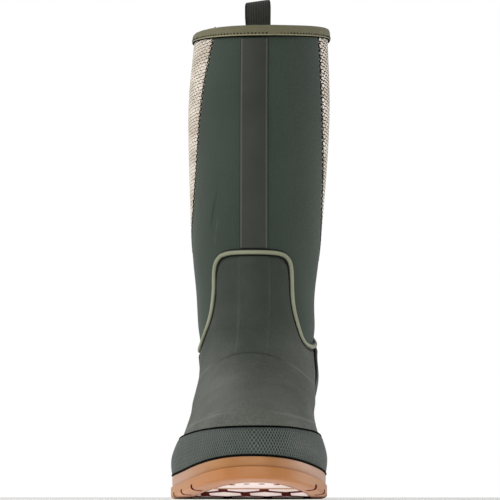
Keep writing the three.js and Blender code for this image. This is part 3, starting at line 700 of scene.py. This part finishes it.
# piping along the foot shell's edge
piping = {"wide": 3.2, "high": 2.3, "gap": 1.0, "shadeTape": 5.2}


def alongEdge(u, step=0):
    run = np.clip(u * edgeRun[-1] + step, 0, edgeRun[-1])
    return lastPoint(np.interp(run, edgeRun, edgeAngles), np.interp(run, edgeRun, edgeLevels))


def beadShape(wide, high, low, gap):
    def shape(u, v):
        run = u * edgeRun[-1]
        normal = lastNormal(np.interp(run, edgeRun, edgeAngles), np.interp(run, edgeRun, edgeLevels))
        up = unit(np.cross(normal, alongEdge(u, 1) - alongEdge(u, -1)))
        turn = v * 2 * np.pi
        across = gap + wide * (0.5 - 0.5 * np.cos(turn))
        out = low + high * (0.5 + 0.5 * np.sin(turn))
        return alongEdge(u) + up * across[:, None] + normal * out[:, None]
    return shape


bead = beadShape(piping["wide"], piping["high"], 1.0, piping["gap"])
bm = outward(wrap(bead, 520, 12, (edgeRun[-1], 10), True))
addPiece("pipingBead", bm, "piping", slot="sage_rubber", material=sageRubber)
# a flat black tape under the bead, wider than it, shows as a black line each side of the piping: painted
# shade in the gaps
shadeTapeGap = piping["gap"] - (piping["shadeTape"] - piping["wide"]) / 2
shadeTape = beadShape(piping["shadeTape"], 1.6, 0.3, shadeTapeGap)
bm = outward(wrap(shadeTape, 520, 8, (edgeRun[-1], 12), True))
addPiece("pipingShadeTape", bm, slot="olive_rubber", material=counterRubber)


# shaft panels; each seam row is a height, then degrees on the outer and inner side
seams = [(82.5, 150, 150), (112.5, 142, 142), (150, 121, 122), (172, 105, 108), (194, 88, 95), (222, 69, 83),
         (252, 58, 77), (283, 52.3, 70), (315, 47, 65), (345, 41.5, 63.5), (365, 38.5, 61.5), (425, 34, 58)]
panel = {"overlap": 8, "seamDip": 0.7, "seamWide": 1.6, "thick": 2.5, "straightZ": 205}


def seamAngle(z, side):
    return np.radians(along([(s[0], s[1 if side < 0 else 2]) for s in seams], z))


def upShaft(angleAt, v):
    # from below the foot shell's edge to the collar, for an angle that may change with height
    z = np.full(v.shape, 250.0)
    for _ in range(30):
        angle = angleAt(z)
        low = edgeHeight(angle) - panel["overlap"]
        high = lastPoint(angle, collarLevel)[..., 2]
        z = mix(z, mix(low, high, v), 0.6)
    return angle, levelAt(angle, z), z


def seamDip(fromSeam):
    # the cloth is drawn in where it is sewn
    return panel["seamDip"] * np.exp(-((fromSeam / panel["seamWide"]) ** 2))


def roundShaft(points):
    # the way round the leg, and the height
    x, y, z = points.T
    return np.stack([np.arctan2(x, boot["legY"] - y) * boot["calfWide"] / 2, z], -1)


def frontPanelShape(u, v):
    across = np.abs(u * 2 - 1)
    side = np.where(u < 0.5, -1, 1)

    def seamOn(z):
        return np.where(side < 0, seamAngle(z, -1), seamAngle(z, 1))

    def angleAt(z):
        # beside the arch the panel's columns stand straight, and only its edges swing out to the seams
        straight = seamOn(np.maximum(z, panel["straightZ"]))
        return side * (across * straight + (seamOn(z) - straight) * ramp(across, 0.55, 1))
    angle, level, z = upShaft(angleAt, v)
    width = (seamAngle(z, -1) + seamAngle(z, 1)) * 55
    soft = 0.22 * np.sin(angle * 7 + z / 31) * np.sin(z / 37 + 1)
    return offLast(angle, level, soft - seamDip(np.minimum(u, 1 - u) * width))


bm = wrap(frontPanelShape, 130, 170, uvAt=roundShaft)
front = addPiece("frontPanel", bm, "front_panel", slot="green_neoprene", material=greenNeoprene)
thicken(front, panel["thick"])


def sidePanelShape(side):
    def shape(u, v):
        def angleAt(z):
            return side * mix(seamAngle(z, side), np.pi - 0.003, u)
        angle, level, z = upShaft(angleAt, v)
        dip = seamDip(u * (np.pi - seamAngle(z, side)) * 60)
        return offLast(angle, level, 0.25 - dip + 0.25 * np.sin(z / 29 + angle * 3))
    return shape


for side, name, cad, knit in ((1, "innerSidePanel", "inner_side_panel", boldKnit),
                              (-1, "outerSidePanel", "outer_side_panel", fineKnit)):
    bm = wrap(sidePanelShape(side), 90, 170, uvAt=roundShaft)
    if side < 0:
        bmesh.ops.reverse_faces(bm, faces=bm.faces)
    thicken(addPiece(name, bm, cad, slot="patterned_knit", material=knit), panel["thick"])


# flatlock seam: dark thread that zigzags along the join of front and side panels
seamThread = {"wide": 1.1, "high": 0.9, "pitch": 4.2, "sway": 1.0, "from": 125, "to": 362}


def seamShape(side):
    def shape(u, v):
        z = mix(seamThread["from"], seamThread["to"], u)
        turn = v * 2 * np.pi
        angle = side * seamAngle(z, side)
        level = levelAt(angle, z)
        here = offLast(angle, level, -0.25)
        sway = seamThread["sway"] * np.sin(z / seamThread["pitch"] * 2 * np.pi)
        normal = lastNormal(angle, level)
        beside = unit(np.cross(np.array([0, 0, 1.0]), normal))
        across = sway + seamThread["wide"] / 2 * np.cos(turn)
        out = seamThread["high"] / 2 * (1 + np.sin(turn)) - 0.3
        return here + beside * across[:, None] + normal * out[:, None]
    return shape


for side, name in ((1, "innerSeamThread"), (-1, "outerSeamThread")):
    bm = capRings(wrap(seamShape(side), 460, 8, (240, 3), True))
    addPiece(name, bm, slot="black_webbing", material=darkThread)

# rubber tapes up the shin and the back
tape = {"shin": 21.5, "back": 16, "thick": 1.3, "lean": 1.2}  # lean is how far the shin tape drifts sideways


def tapeShape(width, middle):
    def shape(u, v):
        z0 = arch["top"] + 5.5 if middle == 0 else arch["heel"] + 6
        top = boot["collarZ"] - (boot["collarDip"] if middle == 0 else 0) - 8
        z = mix(z0, top, v)
        angle = np.full(u.shape, float(middle))
        for _ in range(8):
            level = levelAt(angle, z)
            half = through(halves, level)
            x = (u - 0.5) * width + (tape["lean"] * v if middle == 0 else 0)
            lean = np.arcsin(np.clip((x - through(inward, level)) / half, -1, 1))
            angle = lean if middle == 0 else np.pi - lean
        edge = np.minimum(u, 1 - u) * width
        return offLast(angle, level, 0.15 + tape["thick"] * ramp(edge, -0.2, 1.1))
    return shape


for name, width, middle, cad, rubber in (("shinTape", tape["shin"], 0, "shin_strip", shinRubber),
                                         ("backTape", tape["back"], math.pi, "back_strip", stripRubber)):
    bm = wrap(tapeShape(width, middle), 36, 150, (width, 165))
    if middle:
        bmesh.ops.reverse_faces(bm, faces=bm.faces)
    thicken(addPiece(name, bm, cad, slot="olive_rubber", material=rubber), 0.8)
print("shaft made")


# collar
binding = {"height": 7.6, "sideTuck": 0.18, "sideLift": 1.0, "sideTilt": 1.3, "stitches": 124,
           "stitchUp": 1.9, "stitchOut": 1.85, "stitchLong": 1.7, "stitchRadius": 0.65, "lineRadius": 0.7}


def collarAt(angle, drop):
    # the level that lies drop millimetres off the collar's line; at the sides the binding is shallower and
    # higher, most of all on the inner side
    side = np.sin(angle) ** 2
    aboveCalf = boot["collarZ"] - boot["calfZ"]
    step = mix(aboveCalf - boot["collarDip"], aboveCalf, (1 - np.cos(angle)) / 2)
    lift = (binding["sideLift"] + binding["sideTilt"] * np.sin(angle)) * side
    down = drop * (1 - binding["sideTuck"] * side) + lift
    return collarLevel + down / np.where(down > 0, overCollar, step)


def bindingShape(u, v):
    low = -binding["height"]
    section = [(0.2, low), (1.6, low + 0.1), (1.9, low + 1.2), (1.7, low + 1.9), (1.95, low + 2.7),
               (2.1, -3.5), (1.9, 0), (1.2, 1.3), (-0.5, 1.9), (-3.8, 2.1), (-7, 1.9), (-8.8, 1.2),
               (-9.4, 0), (-9.5, -4), (-9.3, low + 0.1), (-8, low)]
    offset, drop = loopOf(section)(v).T
    angle = u * 2 * np.pi
    level = collarAt(angle, drop)
    puff = 0.12 * np.sin(u * 2 * np.pi * 31) * (offset > 0)
    # the tape's free end laps over its start at the front
    lap = 0.55 * ramp(u, 0.028, 0.031) * (1 - ramp(u, 0.05, 0.09)) * (offset > 0)
    return offLast(angle, level, offset + puff + lap)


bm = outward(wrap(bindingShape, 420, 40, (410, 32), True))
addPiece("collarBinding", bm, "collar_binding", slot="olive_binding", material=oliveBinding)


def stitchRow(name, places, normals, forwards, size, material, slot):
    # short thread bars laid end to end, each one a stretched ball; size is a length and a radius
    length, radius = size
    bm = bmesh.new()
    for point, normal, forward in zip(places, normals, forwards):
        ball = bmesh.ops.create_icosphere(bm, subdivisions=1, radius=1)
        side = np.cross(normal, forward)
        for vert in ball["verts"]:
            c = vert.co.copy()
            at = point + forward * c.x * length / 2 + side * c.y * radius + normal * c.z * radius
            vert.co = Vector(at / 1000)
    addPiece(name, bm, slot=slot, material=material)


angles = np.arange(binding["stitches"]) / binding["stitches"] * 2 * np.pi
rowLevel = collarAt(angles, binding["stitchUp"] - binding["height"])
rowPoints = offLast(angles, rowLevel, np.full(len(angles), binding["stitchOut"]))
rowForward = unit(np.roll(rowPoints, -1, axis=0) - np.roll(rowPoints, 1, axis=0))
stitchRow("collarStitches", rowPoints, lastNormal(angles, rowLevel), rowForward,
          (binding["stitchLong"], binding["stitchRadius"]), darkThread, "olive_binding")


def collarLine(name, below, offset, material):
    # lines round the collar: the binding's paler folded lip, and a black cord just below it, painted as the
    # shadow line under the binding
    def shape(u, v):
        turn = v * 2 * np.pi
        level = collarAt(u * 2 * np.pi, -below - binding["lineRadius"] * np.cos(turn))
        return offLast(u * 2 * np.pi, level, offset + binding["lineRadius"] * np.sin(turn))
    bm = outward(wrap(shape, 300, 8, (410, 3), True))
    addPiece(name, bm, slot="olive_rubber", material=material)


collarLine("collarShadeLine", binding["height"] + 0.7, 1.3, shadeLineRubber)
collarLine("bindingLip", binding["height"] - 0.35, 1.5, paleThread)


def liningShape(u, v):
    level = mix(0.9, collarLevel - 0.05, v)
    angle = u * 2 * np.pi
    return offLast(angle, level, -7.3 + 0.3 * np.sin(angle * 9 + v * 31) * np.sin(v * 43 + angle * 4))


bm = wrap(liningShape, 120, 150, (400, 420), True)
bmesh.ops.reverse_faces(bm, faces=bm.faces)
lining = addPiece("liningSock", bm, "lining", slot="lining_fleece", material=liningFleece)
liningWall = lining.modifiers.new("thickness", "SOLIDIFY")
liningWall.thickness, liningWall.offset = 0.0014, -1
print("collar and lining made")


# pull loop
webbing = {"wide": 20.4, "thick": 1.6, "loop": 31, "belly": 5, "tail": 25, "turn": math.radians(-4),
           "slope": 0.11}


def loopPath():
    # the tape's centreline in the side view: up from the tail, round the top and down again
    top = webbing["loop"] - webbing["belly"] - 0.8
    r = webbing["belly"]
    turns = [(-r * math.cos(a), top + r * math.sin(a)) for a in np.linspace(0, math.pi, 9)]
    left = [(-0.85, -webbing["tail"]), (-0.85, -14), (-0.85, -4), (-1.0, 2), (-2.0, 7), (-3.9, 14),
            (-4.9, 20)]
    right = [(-x, z) for x, z in left[::-1]]
    points = np.array(left + turns + right)
    fine = np.linspace(0, len(points) - 1, 260)
    return np.stack([through(points[:, k], fine) for k in (0, 1)], -1)


loopLine = loopPath()
loopRun = runAlong(loopLine)


def webbingShape(u, v):
    # v runs along the tape, u round its flat section
    def onTape(step=0):
        run = np.clip(v * loopRun[-1] + step, 0, loopRun[-1])
        return np.stack([np.interp(run, loopRun, loopLine[:, k]) for k in (0, 1)], -1)
    y, z = onTape().T
    run = unit(onTape(0.5) - onTape(-0.5))
    w, t = webbing["wide"] / 2, webbing["thick"] / 2
    upper = [(-w + 0.3, t * 0.9), (-w + 1.4, t), (0, t * 0.95), (w - 1.4, t), (w - 0.3, t * 0.9)]
    section = [(-w, 0)] + upper + [(w, 0)] + [(x, -y) for x, y in upper[::-1]]
    across, out = loopOf(section)(u).T
    free = ramp(z, 0, 18)
    x = across - 0.6 * free
    yy, zz = y - run[:, 1] * out, z + run[:, 0] * out
    zz = zz + webbing["slope"] * x * ramp(z, 8, 28)  # the top edge slopes a little
    turn = webbing["turn"] * free
    c, s = np.cos(turn), np.sin(turn)
    return np.stack([x * c - yy * s + hinge.x, x * s + yy * c + hinge.y, zz + hinge.z], -1)


bm = capRings(wrap(webbingShape, 30, 260, (42, loopRun[-1]), True))
loop = addPiece("pullLoopWebbing", bm, "pull_loop", "pull_loop_tail", body=None, slot="black_webbing",
                material=blackWebbing)
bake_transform(loop)

# two rows of tacks hold the tail inside the collar
tacks = np.array([(x + hinge.x, hinge.y - 1.8, z + hinge.z)
                  for z in (-8, -20) for x in (-8, -5.7, -3.4, -1.1, 1.1, 3.4, 5.7, 8)])
facing, running = np.tile((0, -1.0, 0), (len(tacks), 1)), np.tile((1.0, 0, 0), (len(tacks), 1))
stitchRow("tailStitches", tacks, facing, running, (2.0, 0.35), paleThread, "black_webbing")
print("pull loop made")


# bumpers; their tops are (place along the foot, height) pairs
toeBumperTop = [(-150, 47), (-125, 45.8), (-80, 43.5), (-45, 41), (0, 39.5), (30, 40), (200, 40)]
heelBumperTop = [(-200, 40), (30, 40), (70, 46), (110, 53), (150, 56)]
bumper = {"inner": 2.9, "outer": 5.3, "joinY": 26}


def bumperShape(tops, side):
    section = [(0, 0.02), (0.5, 0), (0.9, 0.01), (1, 0.04), (1.02, 0.25), (1.03, 0.5), (1, 0.78),
               (0.95, 0.93), (0.8, 0.985), (0.5, 1), (0.15, 0.99), (0, 0.96)]
    at = loopOf(section)

    def shape(u, v):
        out, up = at(v).T
        limit = angleAtY(bumper["joinY"] + (0 if side == "toe" else 0.3), 2.0)
        angle = (u * 2 - 1) * limit if side == "toe" else np.pi + (u * 2 - 1) * (np.pi - limit)
        y = lastPoint(angle, 2.0)[:, 1]
        z = mix(bandTop + 0.3 + rise(y), along(tops, y), up)
        return offLast(angle, levelAt(angle, z), mix(bumper["inner"], bumper["outer"], out))
    return shape


for side, name, tops, cad, count, length in (("toe", "toeBumper", toeBumperTop, "toe_bumper", 260, 430),
                                             ("heel", "heelBumper", heelBumperTop, "heel_bumper", 170, 280)):
    bm = capRings(wrap(bumperShape(tops, side), count, 44, (length, 54), True))
    addPiece(name, bm, cad, slot="green_rubber", material=knurledRubber)


def seamLine(name, heightAt, offset, radius):
    # a thin black cord along the foot, painted as the shadow line in the gap at a bumper's edge
    def shape(u, v):
        angle, turn = u * 2 * np.pi, v * 2 * np.pi
        y = lastPoint(angle, 2.0)[:, 1]
        level = levelAt(angle, heightAt(y))
        here = offLast(angle, level, offset + radius * np.sin(turn))
        here[:, 2] += radius * np.cos(turn)
        return here
    bm = outward(wrap(shape, 420, 8, (760, 3), True))
    addPiece(name, bm, slot="olive_rubber", material=shadeLineRubber)


def bumperTopAt(y):
    return np.where(y < bumper["joinY"], along(toeBumperTop, y), along(heelBumperTop, y))


# painted shadow lines along the bumpers' top and foot
seamLine("bumperTopShadeLine", lambda y: bumperTopAt(y) + 0.45, shellOut + 1.4, 0.9)
seamLine("bumperFootShadeLine", lambda y: bandTop + 0.3 + rise(y), bumper["outer"] - 0.2, 0.85)
print("bumpers made")


# sole
def outline(angle, offset):
    normal = lastNormal(angle, np.ones_like(angle))
    normal[..., 2] = 0
    return lastPoint(angle, np.ones_like(angle)) + unit(normal) * np.asarray(offset, float)[..., None]


def underside(y):
    raised = np.minimum(ramp(y, 6, 26), 1 - ramp(y, 72, 88))
    return toeCurl(y) + bottom["arch"] * raised


def onGround(x, y):
    # a place on the underside near the toe, in metres
    return float(x) / 1000, y / 1000, float(toeCurl(np.array(y))) / 1000


def ringShape(section, low, high):
    # section pairs are an offset from the outline and a share of the height between low and high
    at = loopOf(section)

    def shape(u, v):
        offset, up = at(v).T
        point = outline(u * 2 * np.pi, offset)
        point[:, 2] = mix(low(point[:, 1]), high(point[:, 1]), up)
        return point
    return shape


bandSection = [(2.9, 0), (5.0, 0), (5.3, 0.05), (5.55, 0.3), (5.6, 0.55), (5.45, 0.85), (5.1, 0.97),
               (4.4, 1), (2.9, 1)]
bandShape = ringShape(bandSection, lambda y: midsoleBottom + rise(y), lambda y: bandTop + rise(y))
bm = outward(wrap(bandShape, 320, 34, (760, 26), True))
addPiece("midsoleBand", bm, "midsole_band", slot="gum_rubber", material=honeyGum)

podInset = rimOuter - bottom["rim"]
pods = {"toe_tread": (-boot["length"] / 2 + 12, -118), "forefoot_tread": (-114, 4),
        "heel_tread": (92, boot["length"] / 2 - 12)}


def widthAt(y, offset):
    # the sole's two edges at a place along the foot
    angle = np.linspace(0, np.pi, 400)
    offsets = np.full(400, float(offset))
    inner, outer = outline(angle, offsets), outline(-angle, offsets)
    return np.interp(y, outer[:, 1], outer[:, 0]), np.interp(y, inner[:, 1], inner[:, 0])


def plate(rows, columns, span, offset, low, high):
    # a closed slab across the sole between two lengthways stops
    def shape(u, v):
        y = mix(span[0], span[1], v)
        left, right = widthAt(y, offset)
        x = mix(left, right, u)
        return np.stack([x, y, low(y)], -1)
    bm = wrap(shape, columns, rows)
    grown = bmesh.ops.extrude_face_region(bm, geom=list(bm.faces))
    for vert in [g for g in grown["geom"] if isinstance(g, bmesh.types.BMVert)]:
        vert.co.z = float(high(vert.co.y * 1000)) / 1000
    return outward(bm)


def carve(piece, cutters, operation="DIFFERENCE"):
    for cutter in cutters:
        cut = piece.modifiers.new("carve", "BOOLEAN")
        cut.object, cut.operation, cut.solver = cutter, operation, "EXACT"
    graph = bpy.context.evaluated_depsgraph_get()
    made = bpy.data.meshes.new_from_object(piece.evaluated_get(graph))
    piece.modifiers.clear()
    piece.data = made
    for cutter in cutters:
        bpy.data.objects.remove(cutter)
    return piece


def outsoleShape(u, v):
    # from the middle of the top, out over the edge and back to the middle of the underside
    section = [(-1, 1), (0, 1), (0.0, 0.94), (0.0, 0.2), (-0.01, 0.1), (-0.028, 0.03), (-0.05, 0), (-1, 0)]
    share, up = (np.interp(v, [0, 0.2, 0.24, 0.7, 0.76, 0.8, 0.84, 1], values) for values in zip(*section))
    angle = u * 2 * np.pi
    rim = outline(angle, np.full(u.shape, rimOuter))
    inset = outline(angle, np.full(u.shape, rimOuter - bottom["rim"] - 2))
    lengthways = lastPoint(angle, np.ones_like(angle))[:, 1]
    near = np.clip(-share / 0.25, 0, 1)[:, None]
    far = np.clip((-share - 0.25) / 0.75, 0, 1)[:, None]
    # the middle line stops short of the toe and the heel
    lastY = boot["length"] / 2 - 24
    middleY = np.clip(lengthways, -lastY, lastY)
    middle = np.stack([np.mean(widthAt(middleY, 0), axis=0), middleY, rim[:, 2]], -1)
    point = np.where(far > 0, mix(inset, middle, far), mix(rim, inset, near))
    high = outsoleTop + rise(point[:, 1])
    point[:, 2] = mix(underside(point[:, 1]), high, up)
    return point


# the slits' walls are painted brick red: painted shade inside the slits
bm = outward(wrap(outsoleShape, 320, 60, (760, 60), True))
sole = spare("outsoleRim", bm, deepGum, grooveShadeTread)
print("outsole blank made")
slits = {"ys": (-112, -90, -68, -46, -24), "size": (0.018, 0.0032, 0.007), "turn": -38, "material": 1}
cutters = []
for name, span in pods.items():
    wide = (span[0] - bottom["gap"], span[1] + bottom["gap"])
    bm = plate(40, 24, wide, podInset + bottom["gap"], lambda y: -20 + 0 * y,
               lambda y: outsoleTop - 2.7 + toeCurl(y))
    cutters.append(spare(name + "Pocket", bm))
for side in (-1, 1):
    for y in slits["ys"]:
        left, right = widthAt(y, rimOuter)
        bm = bmesh.new()
        bmesh.ops.create_cube(bm, size=1)
        bmesh.ops.scale(bm, vec=slits["size"], verts=bm.verts)
        turn = Matrix.Rotation(math.radians(slits["turn"] * side), 3, "Z")
        bmesh.ops.rotate(bm, cent=(0, 0, 0), matrix=turn, verts=bm.verts)
        bmesh.ops.translate(bm, vec=onGround(right if side > 0 else left, y), verts=bm.verts)
        for face in bm.faces:
            face.material_index = slits["material"]
        cutters.append(spare("slit", bm, deepGum, grooveShadeTread))
carve(sole, cutters)
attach(sole, "boot")
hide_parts("outsole")
for polygon in sole.data.polygons:
    polygon.use_smooth = True
crispEdges = sole.modifiers.new("crisp edges", "EDGE_SPLIT")
crispEdges.split_angle = math.radians(40)

lugs = {"across": 22, "groove": 6.6, "inset": 0.4, "cutDeep": 0.04}
lugPitch = lugs["across"] + lugs["groove"]
rowPitch = lugPitch * math.sqrt(3) / 2


def hexagons(span):
    # rows of six-sided columns that fill the span
    bm = bmesh.new()
    radius = lugs["across"] / math.sqrt(3) / 1000
    for row in range(math.ceil((span[1] - span[0]) / rowPitch) + 1):
        for i in range(-3, 4):
            hexagon = bmesh.ops.create_cone(bm, cap_ends=True, segments=6, radius1=radius, radius2=radius,
                                            depth=lugs["cutDeep"])
            at = ((i + (row % 2) / 2) * lugPitch / 1000, (span[0] + row * rowPitch) / 1000, 0)
            bmesh.ops.translate(bm, vec=at, verts=hexagon["verts"])
    return spare("hexagons", outward(bm))


def dent(x):
    bm = bmesh.new()
    bmesh.ops.create_uvsphere(bm, u_segments=20, v_segments=12, radius=1)
    bmesh.ops.scale(bm, vec=(0.0024, 0.0016, 0.0012), verts=bm.verts)
    bmesh.ops.translate(bm, vec=onGround(x, -133 + 0.012 * (x - 9) ** 2), verts=bm.verts)
    return spare("dent", bm)


def webLow(y):
    return bottom["tread"] + toeCurl(y)


# the web between the lugs is painted brick red, painted shade in the grooves
for name, span in pods.items():
    bm = plate(40, 24, span, podInset, webLow, lambda y: bottom["web"] + webLow(y))
    addPiece(name + "Web", bm, name, slot="pale_rubber", smooth=False, material=grooveShadeTread)
    inside = (span[0] + lugs["inset"], span[1] - lugs["inset"])
    blank = spare(name + "Blank", plate(60, 30, inside, podInset - lugs["inset"], toeCurl, webLow))
    if name == "toe_tread":
        carve(blank, [dent(x) for x in (-6.5, 3.5, 14, 24)])
    else:
        carve(blank, [hexagons(span)], "INTERSECT")
    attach(blank, "boot")
    blank.name = name + "Lugs"
    blank.data.materials.append(floorReflectionTread)
    blank.data.materials.append(grooveShadeTread)
    # faces that look down are painted pale, a painted reflection of the floor; the lug walls brick red,
    # painted shade
    for polygon in blank.data.polygons:
        polygon.material_index = int(abs(polygon.normal.z) < 0.7)
print("sole made")


# inside pieces keep the modelled shape and get their finish
# the shank's steel is rolled: fine lengthways lines make it shine unevenly
springSteel, steelTree, steelShader = newMaterial("rolled spring steel", "#8f9294", 0.35, Metallic=1.0)
grain = noise(steelTree, stretch(steelTree, place(steelTree, "Object"), (900, 40, 900)), 1, 2)
steelTree.links.new(range01(steelTree, grain, 0.3, 0.7, 0.28, 0.45), steelShader.inputs["Roughness"])
finishes = {"foot_bootie": blackFoam, "midsole_core": blackFoam, "footbed": blackFoam, "toe_puff": blackFoam,
            "heel_stiffener": blackFoam, "footbed_cover": footbedCloth, "insole_board": fibreBoard,
            "shank": springSteel}
for name, finish in finishes.items():
    item = frame["nodes"][name]
    item.data.materials.clear()
    item.data.materials.append(finish)
print("inside pieces finished")


# floor, light and camera
# the floor's paint is a matt off-white with a barely visible cloudiness
studio = {"distance": 1.6, "azimuth": 3.5, "pitch": 6.9, "yaw": 0.2527, "height": 0.0015, "lens": 146.952,
          "sensor": 36, "floorDrop": 0.0002}
floorPaint, floorTree, floorShader = newMaterial("pale studio floor", "#f4f4f2", 0.9)
clouds = noise(floorTree, place(floorTree, "Object"), 3, 2)
paint(floorTree, floorShader, blend(floorTree, clouds, "#f2f2f0", "#f6f6f4"))
bm = bmesh.new()
bmesh.ops.create_grid(bm, x_segments=2, y_segments=2, size=4)
floor = addPiece("studioFloor", bm, body=None, material=floorPaint)
floor.location.z = -studio["floorDrop"]

world = bpy.data.worlds.new("soft studio")
bpy.context.scene.world = world
world.use_nodes = True
sky = world.node_tree
bright = sky.nodes["Background"]
bright.inputs["Color"].default_value = (1, 1, 1, 1)
bright.inputs["Strength"].default_value = 0.5
white = node(sky, "ShaderNodeBackground", {"Color": (1, 1, 1, 1), "Strength": 1.0})
seen = node(sky, "ShaderNodeLightPath").outputs["Is Camera Ray"]
either = node(sky, "ShaderNodeMixShader", links={0: seen, 1: bright.outputs[0], 2: white.outputs[0]})
sky.links.new(either.outputs[0], sky.nodes["World Output"].inputs["Surface"])


def softbox(name, at, aim, size, power):
    data = bpy.data.lights.new(name, "AREA")
    data.shape, data.size, data.size_y, data.energy = "RECTANGLE", size[0], size[1], power
    lamp = bpy.data.objects.new(name, data)
    bpy.context.scene.collection.objects.link(lamp)
    lamp.location = at
    lamp.rotation_euler = (Vector(aim) - Vector(at)).to_track_quat("-Z", "Y").to_euler()
    lamp.visible_camera = False


softbox("key softbox", (-1.2, -1.9, 1.2), (0, 0, 0.22), (1.3, 1.3), 17)
softbox("toe softbox", (0.1, -1.9, 0.3), (0, -0.1, 0.02), (1.6, 0.25), 1.6)
softbox("left softbox", (-1.5, 0.1, 0.5), (0, 0.05, 0.2), (1.2, 1.4), 9)
softbox("right softbox", (1.5, 0.45, 0.22), (0, 0.0, 0.15), (1.2, 0.6), 8)
softbox("floor bounce", (0, -0.4, 0.003), (0, -0.1, 0.012), (0.3, 0.1), 0.28)
softbox("toe bounce", (0, -0.12, 0.0006), (0, -0.12, 1), (0.11, 0.09), 0.013)
softbox("back softbox", (-0.4, 1.8, 1.6), (0, 0, 0.2), (1.4, 1.0), 8)

lens = bpy.data.cameras.new("camera")
lens.sensor_width, lens.lens = studio["sensor"], studio["lens"]
lens.clip_start, lens.clip_end = 0.05, 50
camera = bpy.data.objects.new("camera", lens)
bpy.context.scene.collection.objects.link(camera)
az = math.radians(studio["azimuth"])
back = boot["legY"] / 1000 - studio["distance"] * math.cos(az)
camera.location = (studio["distance"] * math.sin(az), back, studio["height"])
turned = studio["azimuth"] + studio["yaw"]
camera.rotation_euler = (math.radians(90 + studio["pitch"]), 0, math.radians(turned))
bpy.context.scene.camera = camera
bpy.context.scene.view_settings.view_transform = "Standard"
print("studio made")
